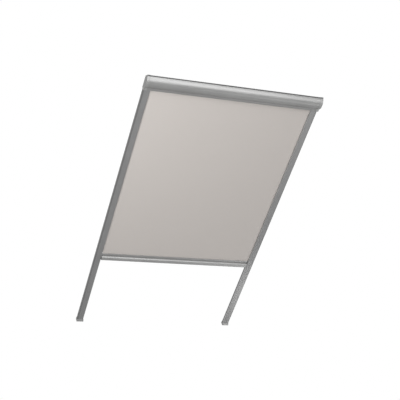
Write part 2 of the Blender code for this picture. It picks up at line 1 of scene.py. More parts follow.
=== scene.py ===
"""Looks of the roller blind for a roof window: the fine shape and the finish of all that shows.

Lengths are in metres, in the blind's own frame: +Z runs up along the rails, +X across them and -Y into the
room. An outline across the blind is a row of (depth, height) corners, where depth is -Y. An outline of a side
rail is a row of (inward, depth) corners, where inward is measured from the rail's outer face. A third number
of a corner is the radius of its round.
"""

import logging
import math
from dataclasses import dataclass
from enum import Enum
from functools import cache
from typing import Iterable, Optional, Sequence, Union

import bmesh
import bpy
import numpy as np
from mathutils import Matrix, Vector
from mathutils.geometry import tessellate_polygon


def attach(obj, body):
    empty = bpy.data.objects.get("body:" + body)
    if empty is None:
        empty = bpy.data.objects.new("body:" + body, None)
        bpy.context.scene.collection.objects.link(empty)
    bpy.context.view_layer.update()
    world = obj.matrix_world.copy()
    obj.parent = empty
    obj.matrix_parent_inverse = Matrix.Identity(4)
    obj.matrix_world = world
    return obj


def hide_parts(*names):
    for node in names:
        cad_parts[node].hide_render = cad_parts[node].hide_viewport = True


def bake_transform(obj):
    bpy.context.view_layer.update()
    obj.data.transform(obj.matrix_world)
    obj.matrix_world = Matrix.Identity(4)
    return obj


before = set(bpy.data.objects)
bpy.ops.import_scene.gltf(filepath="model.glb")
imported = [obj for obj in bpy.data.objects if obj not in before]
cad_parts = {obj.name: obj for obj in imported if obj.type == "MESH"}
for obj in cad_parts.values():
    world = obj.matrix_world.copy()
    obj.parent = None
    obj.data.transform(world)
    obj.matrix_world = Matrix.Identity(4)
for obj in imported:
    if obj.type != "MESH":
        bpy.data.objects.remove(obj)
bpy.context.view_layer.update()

LOG = logging.getLogger("blind")

Point = tuple[float, float]
Place = tuple[float, float, float]
Row = tuple[float, float, float]
Colour = tuple[float, float, float]
Piece = bpy.types.Object
Node = bpy.types.Node
Socket = bpy.types.NodeSocket
Value = Union[float, int, tuple, Socket]

HALF_SPAN = 0.350
GAP = 0.0003
EASE = 0.0001
BEYOND = 0.001
WELD = 1e-6
FINE = 1e-7
FLAT = math.radians(178)


class Slot(Enum):
    """The record's material slots."""

    ANODISED = "anodised_aluminium"
    RAIL = "rail_aluminium"
    PLASTIC = "silver_plastic"
    RUBBER = "grey_rubber"
    CLOTH = "blackout_fabric"
    ZINC = "zinc_plated_steel"
    SPRING = "spring_steel"
    NYLON = "black_nylon"
    PILE = "grey_pile"


class Body(Enum):
    """The bodies of the blind's mechanism."""

    FRAME = "frame"
    ROLLER = "roller"
    BAR = "bar"


class Side(Enum):
    """The two sides of the blind, seen from the room."""

    LEFT = -1
    RIGHT = 1

    @property
    def word(self) -> str:
        """The side's word in the names of pieces."""
        return self.name.lower()


# Outlines

def unit(vectors: np.ndarray) -> np.ndarray:
    """Vectors along the last axis of an array, scaled to a length of 1."""
    return vectors / np.linalg.norm(vectors, axis=-1, keepdims=True)


def circle(sides: int) -> np.ndarray:
    """Angles of one whole turn in even steps."""
    return np.arange(sides) * 2 * math.pi / sides


def polar(centre: Point, radius: float | np.ndarray, angle: np.ndarray) -> np.ndarray:
    """Points about a centre, centre + radius * (cos angle, sin angle)."""
    return np.array(centre) + np.stack([radius * np.cos(angle), radius * np.sin(angle)], axis=1)


def rounded(rows: Sequence[Row] | np.ndarray, steps: int) -> np.ndarray:
    """Round the corners of a closed outline.

    Each corner becomes an arc that touches both of its edges: it starts and ends radius / tan(half the angle)
    away from the corner, about a centre that lies radius / sin(half the angle) along the bisector. A corner
    that is all but straight stays as it is, and the angles are held off the values that have no arc.

    Args:
        rows: Two coordinates and a radius for each corner, in order. A radius of 0 keeps a corner as it is.
        steps: Segments of each arc.

    Returns:
        The points of the rounded outline.
    """
    points, radius = np.split(np.asarray(rows, float), [2], axis=1)
    back = unit(np.roll(points, 1, axis=0) - points)
    ahead = unit(np.roll(points, -1, axis=0) - points)
    angle = np.arccos(np.clip((back * ahead).sum(axis=1, keepdims=True), -1, 1))
    radius = np.where(angle > FLAT, 0, radius)
    half = np.clip(angle / 2, 0.01, FLAT / 2)
    bisector = back + ahead
    bisector /= np.maximum(np.linalg.norm(bisector, axis=1, keepdims=True), FINE)
    centre = points + bisector * radius / np.sin(half)
    first = points + back * radius / np.tan(half) - centre
    last = points + ahead * radius / np.tan(half) - centre
    turn = np.maximum(math.pi - angle, 0.001)[:, None]
    share = np.linspace(0, 1, steps + 1)[None, :, None]
    swing = np.sin((1 - share) * turn) * first[:, None] + np.sin(share * turn) * last[:, None]
    ring = (centre[:, None] + swing / np.sin(turn)).reshape(-1, 2)
    fresh = np.linalg.norm(ring - np.roll(ring, 1, axis=0), axis=1) > FINE
    return ring[fresh]


def mitres(outline: np.ndarray, is_hole: bool) -> np.ndarray:
    """How each point of an outline moves when the solid shrinks by one unit.

    The move is the sum of the two edges' inward normals over 1 plus their dot product, which keeps both edges
    parallel to themselves. That divisor is held off 0, so that a sharp point doesn't fly off.

    Args:
        outline: The outline's points, in order.
        is_hole: Whether the solid lies outside the outline.

    Returns:
        One move for each point.
    """
    after = np.roll(outline, -1, axis=0)
    ahead = unit(after - outline)
    area = (outline[:, 0] * after[:, 1] - after[:, 0] * outline[:, 1]).sum()
    inward = (1 if area > 0 else -1) * (-1 if is_hole else 1)
    normal = inward * np.stack([-ahead[:, 1], ahead[:, 0]], axis=1)
    before = np.roll(normal, 1, axis=0)
    least = 0.2
    return (normal + before) / np.maximum(1 + (normal * before).sum(axis=1, keepdims=True), least)


# Meshes

def clean(mesh: bpy.types.Mesh, thin: float = 0.0) -> None:
    """Weld a mesh, take out its wires and point its faces outwards.

    Args:
        mesh: The mesh.
        thin: Length under which edges are dissolved too.
    """
    work = bmesh.new()
    work.from_mesh(mesh)
    bmesh.ops.remove_doubles(work, verts=work.verts, dist=WELD)
    bmesh.ops.delete(work, geom=[edge for edge in work.edges if edge.is_wire], context="EDGES")
    if thin:
        bmesh.ops.dissolve_degenerate(work, edges=work.edges, dist=thin)
    bmesh.ops.recalc_face_normals(work, faces=work.faces)
    work.to_mesh(mesh)
    work.free()


def linked(name: str, data: bpy.types.ID) -> Piece:
    """Put a new object into the scene, at the origin.

    Args:
        name: Its name.
        data: Its mesh, lamp or camera.

    Returns:
        The object.
    """
    piece = bpy.data.objects.new(name, data)
    bpy.context.scene.collection.objects.link(piece)
    return piece


def solid(name: str, vertices: np.ndarray, faces: Iterable[Sequence[int]], thin: float = 0.0) -> Piece:
    """Make a mesh piece at the origin, cleaned.

    Args:
        name: The piece's name.
        vertices: Places in the blind's frame, along the last axis.
        faces: Vertex numbers of each face.
        thin: Length under which edges are dissolved.

    Returns:
        The piece.
    """
    mesh = bpy.data.meshes.new(name)
    mesh.from_pydata(vertices.reshape(-1, 3), [], faces)
    clean(mesh, thin)
    return linked(name, mesh)


def ring_faces(rings: int, count: int, start: int = 0, close: bool = False) -> list[list[int]]:
    """Quads between rings that follow one another.

    Args:
        rings: How many rings there are.
        count: Points of each ring.
        start: Number of the first point.
        close: Whether the last ring joins the first.

    Returns:
        Four vertex numbers for each quad.
    """
    ring, point = np.meshgrid(np.arange(rings if close else rings - 1), np.arange(count), indexing="ij")
    lower, upper = ring * count, (ring + 1) % rings * count
    following = (point + 1) % count
    quads = np.stack([lower + point, lower + following, upper + following, upper + point], axis=-1)
    return (start + quads.reshape(-1, 4)).tolist()


def smoothed(piece: Piece, angle: float = 30) -> Piece:
    """Shade a piece smooth across its rounds and flat on its flats.

    Args:
        piece: The piece.
        angle: Degrees past which an edge stays sharp.

    Returns:
        The same piece.
    """
    piece.data.shade_smooth()
    piece.data.set_sharp_from_angle(angle=math.radians(angle))
    weight = piece.modifiers.new("flat_faces", "WEIGHTED_NORMAL")
    weight.keep_sharp = True
    return piece


def eased(low: float, high: float) -> list[Point]:
    """Stations of a straight carry whose two ends are eased by a small chamfer."""
    return [(low, EASE), (low + EASE, 0.0), (high - EASE, 0.0), (high, EASE)]


def quarter(end: float, radius: float) -> list[Point]:
    """Stations of a quarter round up to an end; a negative radius rounds the end below."""
    turn = np.linspace(0, math.pi / 2, 6)
    return [(end - radius * (1 - math.sin(t)), abs(radius) * (1 - math.cos(t))) for t in turn]


@dataclass
class Section:
    """A solid outline with hollows in it, to be carried along a straight path."""

    outer: np.ndarray
    hollows: Sequence[np.ndarray] = ()

    def carried(self, name: str, stations: Sequence[Point], side: Optional[Side] = None) -> Piece:
        """Carry the section along X or up Z.

        At each station a point lies at its outline's point + its mitre * how far the section is drawn in.

        Args:
            name: The piece's name.
            stations: Pairs (place along the path, how far the section is drawn in there).
            side: None for an outline of (depth, height) carried along X, or the side whose rail has an
                outline of (inward, depth), carried up Z.

        Returns:
            The closed solid.
        """
        along, shrink = (np.array(column, float) for column in zip(*stations))
        vertices, faces, start = [], [], 0
        ends = {0: ([], []), -1: ([], [])}
        for outline, is_hole in [(self.outer, False), *((hollow, True) for hollow in self.hollows)]:
            rings = outline[None] + mitres(outline, is_hole)[None] * shrink[:, None, None]
            level = np.broadcast_to(along[:, None], rings.shape[:2])
            if side is None:
                placed = np.stack([level, -rings[..., 0], rings[..., 1]], axis=-1)
            else:
                placed = np.stack([side.value * (HALF_SPAN - rings[..., 0]), -rings[..., 1], level], axis=-1)
            vertices.append(placed.reshape(-1, 3))
            faces.extend(ring_faces(*level.shape, start))
            for end, (rims, numbers) in ends.items():
                rims.append(np.pad(rings[end], ((0, 0), (0, 1))).tolist())
                numbers.append(start + np.arange(level.size).reshape(level.shape)[end])
            start += level.size
        for rims, numbers in ends.values():
            faces.extend(np.concatenate(numbers)[np.array(tessellate_polygon(rims))].tolist())
        return solid(name, np.concatenate(vertices), faces)

    def drawn(self, name: str, start: float, end: float) -> Piece:
        """Carry the section along X with eased ends, and shade it."""
        return smoothed(self.carried(name, eased(start, end)))


def basis(direction: Place) -> np.ndarray:
    """Three unit vectors that stand square to each other.

    Args:
        direction: The direction of the last of them.

    Returns:
        The vectors as rows.
    """
    axis = unit(np.array(direction, float))
    helper = (0.0, 0.0, 1.0) if abs(axis[2]) < 0.9 else (1.0, 0.0, 0.0)
    first = unit(np.cross(helper, axis))
    return np.stack([first, np.cross(axis, first), axis])


def turned(name: str, outline: np.ndarray, base: Place, direction: Place, sides: int) -> Piece:
    """Turn a closed outline about an axis.

    A vertex is base + radius * (cos t, sin t) across the axis + along the axis.

    Args:
        name: The piece's name.
        outline: Rows of (radius, along).
        base: The place on the axis that along is measured from.
        direction: The axis's direction.
        sides: Steps of the turn.

    Returns:
        The closed solid.
    """
    turn = circle(sides)[:, None]
    radius, along = outline.T
    local = np.stack([radius * np.cos(turn), radius * np.sin(turn), along + 0 * turn], axis=-1)
    faces = ring_faces(sides, len(outline), close=True)
    return solid(name, np.array(base) + local @ basis(direction), faces, FINE)


def block(low: Place, high: Place, base: Place = (0.0, 0.0, 0.0), axes: Optional[np.ndarray] = None) -> Piece:
    """A plain block, to cut or join with.

    Args:
        low: Its first corner, from the base along the axes.
        high: The corner across from it.
        base: Where the axes start.
        axes: Three unit vectors as rows, the blind's own where there are none.

    Returns:
        The block.
    """
    corners = np.array(np.meshgrid(*zip(low, high), indexing="ij")).reshape(3, -1).T
    faces = [(0, 1, 3, 2), (4, 6, 7, 5), (0, 4, 5, 1), (2, 3, 7, 6), (0, 2, 6, 4), (1, 5, 7, 3)]
    return solid("block", np.array(base) + (corners if axes is None else corners @ axes), faces)


def drum(start: Place, end: Place, radius: float, sides: int) -> Piece:
    """A plain round bar, to cut or join with.

    Args:
        start: Middle of its first end.
        end: Middle of its other end.
        radius: Its radius.
        sides: Its sides.

    Returns:
        The bar.
    """
    length = math.dist(start, end)
    outline = np.array([(0, 0), (radius, 0), (radius, length), (0, length)])
    return turned("drum", outline, start, tuple(b - a for a, b in zip(start, end)), sides)


def combine(piece: Piece, tool: Piece, operation: str = "DIFFERENCE") -> None:
    """Cut a tool out of a piece or join it on, and remove the tool.

    Args:
        piece: The piece.
        tool: The tool.
        operation: The boolean modifier's operation.
    """
    modifier = piece.modifiers.new("combine", "BOOLEAN")
    modifier.operation = operation
    modifier.object = tool
    graph = bpy.context.evaluated_depsgraph_get()
    mesh = bpy.data.meshes.new_from_object(piece.evaluated_get(graph))
    clean(mesh, WELD)
    piece.modifiers.clear()
    old = piece.data
    piece.data = mesh
    bpy.data.meshes.remove(old)
    bpy.data.objects.remove(tool, do_unlink=True)


# Materials

@dataclass
class Tree:
    """A shader node tree that is filled from left to right."""

    tree: bpy.types.NodeTree

    def feed(self, node: Node, inputs: dict[str | int, Value]) -> None:
        """Link or set a node's inputs.

        Args:
            node: The node.
            inputs: Value or source socket for each named or numbered input.
        """
        for name, value in inputs.items():
            if isinstance(value, Socket):
                self.tree.links.new(value, node.inputs[name])
            else:
                node.inputs[name].default_value = value

    def add(self, kind: str, inputs: Optional[dict[str | int, Value]] = None, **settings: object) -> Node:
        """Add a node.

        Args:
            kind: The node's type without its ShaderNode prefix.
            inputs: Value or source socket for each named or numbered input.
            settings: The node's own settings.

        Returns:
            The new node.
        """
        node = self.tree.nodes.new("ShaderNode" + kind)
        for name, value in settings.items():
            setattr(node, name, value)
        self.feed(node, inputs or {})
        return node

    def math(self, operation: str, *values: Value) -> Socket:
        """The result of a Math node."""
        return self.add("Math", dict(enumerate(values)), operation=operation).outputs[0]

    def between(self, value: Value, start: Point, end: Point) -> Socket:
        """A value moved smoothly from one range to another, and held at its ends."""
        inputs = dict(zip(("Value", "From Min", "From Max", "To Min", "To Max"), (value, *start, *end)))
        return self.add("MapRange", inputs, interpolation_type="SMOOTHSTEP").outputs["Result"]

    def stretched(self, vector: Socket, by: Value) -> Socket:
        """A vector times another."""
        return self.add("VectorMath", {0: vector, 1: by}, operation="MULTIPLY").outputs["Vector"]

    def noise(self, vector: Socket, scale: float, detail: float, roughness: float) -> Socket:
        """A noise between 0 and 1, about 0.5."""
        inputs = {"Vector": vector, "Scale": scale, "Detail": detail, "Roughness": roughness}
        return self.add("TexNoise", inputs).outputs["Fac"]

    def haze(self, vector: Socket, scale: float, detail: float, roughness: float) -> Socket:
        """A noise whose middle, from 0.3 to 0.7, is spread over the whole range from 0 to 1."""
        return self.between(self.noise(vector, scale, detail, roughness), (0.3, 0.7), (0, 1))


def effect(name: str, **inputs: Value) -> tuple[Tree, dict[str, Socket]]:
    """Start a shader node group, whose first input is the place on the object.

    Args:
        name: The group's name.
        inputs: Default of each other input; a triple makes a vector socket, a number makes a value socket.

    Returns:
        A Tree to fill the group with, and its input sockets by name.
    """
    group = bpy.data.node_groups.new(name, "ShaderNodeTree")
    inputs = {"Vector": (0.0, 0.0, 0.0), **inputs}
    for label, value in inputs.items():
        kind = "NodeSocketVector" if isinstance(value, tuple) else "NodeSocketFloat"
        group.interface.new_socket(label, in_out="INPUT", socket_type=kind).default_value = value
    entry = group.nodes.new("NodeGroupInput")
    return Tree(group), {label: entry.outputs[label] for label in inputs}


def put_out(tree: Tree, **outputs: Socket) -> bpy.types.NodeTree:
    """Give a shader node group its outputs.

    Args:
        tree: The Tree that fills the group.
        outputs: Source socket of each output.

    Returns:
        The group.
    """
    for label in outputs:
        tree.tree.interface.new_socket(label, in_out="OUTPUT", socket_type="NodeSocketFloat")
    tree.feed(tree.tree.nodes.new("NodeGroupOutput"), outputs)
    return tree.tree


@cache
def drawn_effect() -> bpy.types.NodeTree:
    """Die lines of an extrusion or a drawn wire, and handling marks.

    Lines is a noise of the place times a frequency for each direction, so that it is long where the frequency
    is low. Marks is a soft noise a hand's breadth wide.

    Returns:
        The group, with the outputs Lines and Marks.
    """
    tree, given = effect("drawn_metal", Frequency=(4.0, 900.0, 900.0))
    drawn = tree.stretched(given["Vector"], given["Frequency"])
    lines = tree.haze(drawn, scale=1.0, detail=3, roughness=0.6)
    marks = tree.haze(given["Vector"], scale=9.0, detail=4, roughness=0.6)
    return put_out(tree, Lines=lines, Marks=marks)


@cache
def moulded_effect() -> bpy.types.NodeTree:
    """The spark-eroded grain of a moulding: cells of a fine Voronoi pattern, and a broad haze.

    Returns:
        The group, with the outputs Height and Shade.
    """
    tree, given = effect("moulded_grain", Grain=2400.0)
    cells = tree.add("TexVoronoi", {"Vector": given["Vector"], "Scale": given["Grain"]}, feature="SMOOTH_F1")
    shade = tree.haze(given["Vector"], scale=45.0, detail=5, roughness=0.65)
    return put_out(tree, Height=cells.outputs["Distance"], Shade=shade)


@cache
def woven_effect() -> bpy.types.NodeTree:
    """A plain weave over X and Z, with uneven yarns.

    Each yarn is a half wave, the absolute sine of pi times place over pitch. Where the two sines have the
    same sign the upright yarn lies on top, and elsewhere the cross yarn does.

    Returns:
        The group, with the outputs Height and Slub.
    """
    tree, given = effect("plain_weave", Pitch=0.0004)
    place = tree.add("SeparateXYZ", {0: given["Vector"]}).outputs
    beat = tree.math("DIVIDE", math.pi, given["Pitch"])
    warp, weft = (tree.math("SINE", tree.math("MULTIPLY", place[axis], beat)) for axis in "XZ")
    over = tree.math("GREATER_THAN", tree.math("MULTIPLY", warp, weft), 0.0)
    under = tree.math("SUBTRACT", 1.0, over)
    upright, crosswise = (tree.math("MULTIPLY", tree.math("ABSOLUTE", yarn), seen)
                          for yarn, seen in ((warp, over), (weft, under)))
    streaks = tree.stretched(given["Vector"], (60.0, 60.0, 1400.0))
    slub = tree.haze(streaks, scale=1.0, detail=3, roughness=0.6)
    return put_out(tree, Height=tree.math("ADD", upright, crosswise), Slub=slub)


@cache
def fibre_effect() -> bpy.types.NodeTree:
    """Short fibres that stand out of a strip: a noise drawn out along depth, with clumps.

    Returns:
        The group, with the outputs Height and Clumps.
    """
    tree, given = effect("pile_fibres")
    combed = tree.stretched(given["Vector"], (5200.0, 700.0, 5200.0))
    fibres = tree.noise(combed, scale=1.0, detail=2, roughness=0.6)
    clumps = tree.haze(given["Vector"], scale=380.0, detail=2, roughness=0.5)
    return put_out(tree, Height=fibres, Clumps=clumps)


@dataclass
class Coat(Tree):
    """A material's own tree, with its shader and the place on the object."""

    shader: Node
    place: Socket

    def laid(self, group: bpy.types.NodeTree, **inputs: Value) -> Sequence[Socket]:
        """The outputs of a shared effect, laid over the object."""
        return self.add("Group", {"Vector": self.place, **inputs}, node_tree=group).outputs


@dataclass(frozen=True)
class Finish:
    """One finish: the name of its material, its slot in the record and its plain values.

    Contrast is the share by which the colour gets darker and lighter. Spread is what the roughness gains
    where a mask is 0 and where it is 1. Depth and strength are the bump's.
    """

    name: str
    slot: Slot
    colour: Colour
    roughness: float
    metallic: float = 0.0
    contrast: float = 0.04
    spread: Point = (-0.05, 0.05)
    depth: float = 0.000004
    strength: float = 0.6

    @cache
    def material(self) -> bpy.types.Material:
        """Make the finish's material, the first time that it is asked for.

        Returns:
            The material.
        """
        material = bpy.data.materials.new(self.name)
        material.use_nodes = True
        tree = material.node_tree
        coat = Coat(tree, tree.nodes["Principled BSDF"], Tree(tree).add("TexCoord").outputs["Object"])
        coat.feed(coat.shader, {"Metallic": self.metallic})
        self.paint(coat)
        return material

    def paint(self, coat: Coat) -> None:
        """Fill the material; each kind of finish does it its own way."""
        raise NotImplementedError

    def uneven(self, coat: Coat, mask: Socket) -> Socket:
        """The finish's roughness with its spread over a mask."""
        return coat.between(mask, (0, 1), tuple(self.roughness + gain for gain in self.spread))

    def join(self, coat: Coat, mask: Socket, rough: Socket, height: Socket) -> None:
        """Link the shader's colour, roughness and bump.

        Args:
            coat: The material's tree.
            mask: 0 where the colour is darkest and 1 where it is lightest.
            rough: The roughness.
            height: The bump's height, from 0 to 1.
        """
        darker, lighter = ((*(part * share for part in self.colour), 1.0)
                           for share in (1 - self.contrast, 1 + self.contrast))
        shades = coat.add("Mix", {"Factor": mask, "A": darker, "B": lighter}, data_type="RGBA")
        bump = coat.add("Bump", {"Height": height, "Distance": self.depth, "Strength": self.strength})
        coat.feed(coat.shader, {"Base Color": shades.outputs["Result"], "Roughness": rough,
                                "Normal": bump.outputs["Normal"]})


@dataclass(frozen=True)
class DrawnMetal(Finish):
    """Extruded or drawn metal with fine lines along one direction."""

    frequency: Place = (4.0, 900.0, 900.0)
    line_rough: float = 0.06
    mark_rough: float = 0.04

    def paint(self, coat: Coat) -> None:
        """Lines make the roughness and a fine bump, handling marks shift the colour.

        Args:
            coat: The material's tree.
        """
        drawn = coat.laid(drawn_effect(), Frequency=self.frequency)
        least = self.roughness - (self.line_rough + self.mark_rough) / 2
        marked = coat.math("MULTIPLY_ADD", drawn["Marks"], self.mark_rough, least)
        rough = coat.math("MULTIPLY_ADD", drawn["Lines"], self.line_rough, marked)
        self.join(coat, drawn["Marks"], rough, drawn["Lines"])


@dataclass(frozen=True)
class LightAndShadePaintedFace(DrawnMetal):
    """A rail's face: drawn metal with painted shade along its outer edge and outer side, and painted light on
    its inner side wall beside the fabric.
    """

    middle: float = HALF_SPAN - 0.013
    # These bands paint light and shade into the colour: outward of the plain band it is darkened, a painted
    # shade, and on the inner side wall it is lightened, a painted light.
    plain: Point = (0.0088, 0.0108)
    outer_painted_shade: float = 0.68
    inner_light_band: Point = (-0.0130, -0.0116)
    inner_painted_light: float = 2.1

    def paint(self, coat: Coat) -> None:
        """The drawn metal, with its colour scaled by the way out from the face's middle line: darker outward
        past the plain band, a painted shade, and lighter on the inner side wall, a painted light.

        Args:
            coat: The material's tree.
        """
        super().paint(coat)
        drawn = coat.shader.inputs["Base Color"].links[0].from_socket
        across = coat.math("ABSOLUTE", coat.add("SeparateXYZ", {0: coat.place}).outputs["X"])
        away = coat.math("SUBTRACT", across, self.middle)
        # shade is painted light and shade: darker towards the outer edge, lighter on the inner side wall.
        shade = coat.math("MULTIPLY", coat.between(away, self.plain, (1.0, self.outer_painted_shade)),
                          coat.between(away, self.inner_light_band, (self.inner_painted_light, 1.0)))
        scaled = coat.add("VectorMath", {0: drawn, "Scale": shade}, operation="SCALE")
        coat.feed(coat.shader, {"Base Color": scaled.outputs["Vector"]})


@dataclass(frozen=True)
class Moulding(Finish):
    """Moulded plastic or rubber with an eroded grain."""

    contrast: float = 0.05
    depth: float = 0.00003
    grain: float = 2400.0

    def paint(self, coat: Coat) -> None:
        """The grain makes the bump, and a haze shifts colour and roughness."""
        cells = coat.laid(moulded_effect(), Grain=self.grain)
        self.join(coat, cells["Shade"], self.uneven(coat, cells["Shade"]), cells["Height"])


@dataclass(frozen=True)
class Woven(Finish):
    """Coated blind cloth in a fine plain weave."""

    contrast: float = 0.035
    spread: Point = (-0.04, 0.04)
    depth: float = 0.00004
    pitch: float = 0.00042
    yarn_share: float = 0.6
    sheen: float = 0.05
    specular: float = 0.25

    def paint(self, coat: Coat) -> None:
        """The weave makes the bump and darkens the hollows between yarns, a painted shade, and slubs streak
        the colour.

        Args:
            coat: The material's tree.
        """
        weave = coat.laid(woven_effect(), Pitch=self.pitch)
        # The colour's mask is partly the weave's height, painted shade in the hollows between yarns, and
        # partly slubs, the cloth's own uneven tone.
        streaks = coat.math("MULTIPLY", weave["Slub"], 1 - self.yarn_share)
        mask = coat.math("MULTIPLY_ADD", weave["Height"], self.yarn_share, streaks)
        coat.feed(coat.shader, {"Sheen Weight": self.sheen, "Specular IOR Level": self.specular})
        self.join(coat, mask, self.uneven(coat, weave["Slub"]), weave["Height"])


@dataclass(frozen=True)
class Pile(Finish):
    """Short synthetic pile."""

    contrast: float = 0.25
    spread: Point = (-0.05, 0.03)
    depth: float = 0.0002
    sheen: float = 0.2

    def paint(self, coat: Coat) -> None:
        """Fibres make the bump and clumps the colour.

        Args:
            coat: The material's tree.
        """
        fibres = coat.laid(fibre_effect())
        coat.feed(coat.shader, {"Sheen Weight": self.sheen})
        self.join(coat, fibres["Clumps"], self.uneven(coat, fibres["Clumps"]), fibres["Height"])


UPWARDS = (900.0, 900.0, 4.0)
ALL_ROUND = (900.0, 900.0, 900.0)
COARSE = (500.0, 500.0, 500.0)

ALUMINIUM = DrawnMetal("cassette_metal", Slot.ANODISED, (0.226, 0.226, 0.224), 0.40, 0.80)
# A darker copy of the cover's anodised finish, a painted shade on the lip under the cover's hem.
LIP_PAINTED_SHADE_METAL = DrawnMetal("lip_metal", Slot.ANODISED, (0.194, 0.194, 0.192), 0.50, 0.80)
BAR_METAL = DrawnMetal("bar_metal", Slot.ANODISED, (0.252, 0.252, 0.250), 0.45, 0.80)
RAIL_METAL = DrawnMetal("rail_metal", Slot.RAIL, (0.195,) * 3, 0.45, 0.80, frequency=UPWARDS)
# The rail face's colour carries painted shade along its outer edge and painted light on its inner side wall.
RAIL_FACE = LightAndShadePaintedFace("rail_face_metal", Slot.RAIL, (0.199,) * 3, 0.45, 0.80, frequency=UPWARDS)
PLASTIC = Moulding("cap_plastic", Slot.PLASTIC, (0.236, 0.236, 0.234), 0.46, 0.75)
RUBBER = Moulding("seal_rubber", Slot.RUBBER, (0.058, 0.058, 0.060), 0.70, grain=1500.0)
CLOTH = Woven("blackout_cloth", Slot.CLOTH, (0.412, 0.385, 0.365), 0.85)
CLOTH_BACK = Woven("cloth_back_coating", Slot.CLOTH, (0.620, 0.615, 0.600), 0.60, contrast=0.015)
ZINC = DrawnMetal("screw_zinc", Slot.ZINC, (0.520, 0.520, 0.505), 0.30, 1.0, frequency=COARSE)
STEEL = DrawnMetal("spring_wire_steel", Slot.SPRING, (0.260, 0.260, 0.265), 0.33, 1.0, frequency=ALL_ROUND)
NYLON = Moulding("shoe_nylon", Slot.NYLON, (0.035, 0.035, 0.037), 0.48)
PILE = Pile("brush_pile", Slot.PILE, (0.350, 0.350, 0.355), 0.92)


def take(piece: Piece, finish: Finish, body: Body, *nodes: str) -> None:
    """Finish a new piece, put it on its body and let it stand for CAD nodes.

    Args:
        piece: The new piece.
        finish: What it is made of.
        body: The body that it rides on.
        nodes: The CAD nodes that it replaces.
    """
    piece.data.materials.append(finish.material())
    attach(piece, body.value)
    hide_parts(*nodes)
    LOG.info("%s: %s, on the %s", piece.name, finish.name, body.value)


def dress(node: str, finish: Finish, edge: float = 0.00025) -> None:
    """Give a CAD node that stays its finish, welded and with its edges eased by live modifiers.

    Args:
        node: The node's name.
        finish: What it is made of.
        edge: Width of its eased edges.
    """
    piece = bpy.data.objects[node]
    piece.data.materials.clear()
    piece.data.materials.append(finish.material())
    weld = piece.modifiers.new("weld", "WELD")
    weld.merge_threshold = 2 * WELD
    bevel = piece.modifiers.new("eased_edges", "BEVEL")
    bevel.width = edge
    bevel.segments = 2
    bevel.limit_method = "ANGLE"
    bevel.angle_limit = math.radians(40)
    bevel.harden_normals = False
    LOG.info("%s: %s, kept from the frame", node, finish.name)


@dataclass(frozen=True)
class Screw:
    """A screw with a rounded head, a cross recess and a pointed, threaded shank.

    Head and shank are radii, and core is a share of the shank. The head's round is a share of its thickness.
    The recess is given by its reach and half its width, in head radii, and its depth in head thicknesses.
    """

    head: float
    thick: float
    shank: float
    length: float
    core: float = 0.78
    pitch: float = 0.0008
    point: float = 0.0012
    brow: float = 0.55
    recess: Row = (0.55, 0.13, 0.60)

    def piece(self, name: str, top: Place, out: Place) -> Piece:
        """The screw's mesh.

        The profile's thread is a zigzag: the radius is the core's and the shank's by turns, half a pitch on.

        Args:
            name: The piece's name.
            top: Middle of the head's face.
            out: Direction in which the head faces.

        Returns:
            The screw.
        """
        head, thick, core, half_pitch = self.head, self.thick, self.shank * self.core, self.pitch / 2
        count = int((self.length - self.point - half_pitch) / self.pitch)
        thread = [(radius, -thick - half_pitch - self.pitch * (i + half)) for i in range(count)
                  for half, radius in ((0.0, core), (0.5, self.shank))]
        edge = rounded([(0, 0, 0), (head, 0, thick * self.brow), (head, -thick, 0), (0, -thick, 0)], 5)
        tip = -thick - self.length
        end = [(core, tip + self.point), (0.0, tip)]
        outline = np.concatenate([edge[:-1], [(core, -thick)], thread, end])
        piece = turned(name, outline, top, out, 32)
        axes = basis(out)
        reach = np.array(self.recess) * (head, head, thick)
        for order in ([0, 1, 2], [1, 0, 2]):
            combine(piece, block(tuple(-reach), (*reach[:2], BEYOND / 2), top, axes[order]))
        return smoothed(piece)


# The cassette

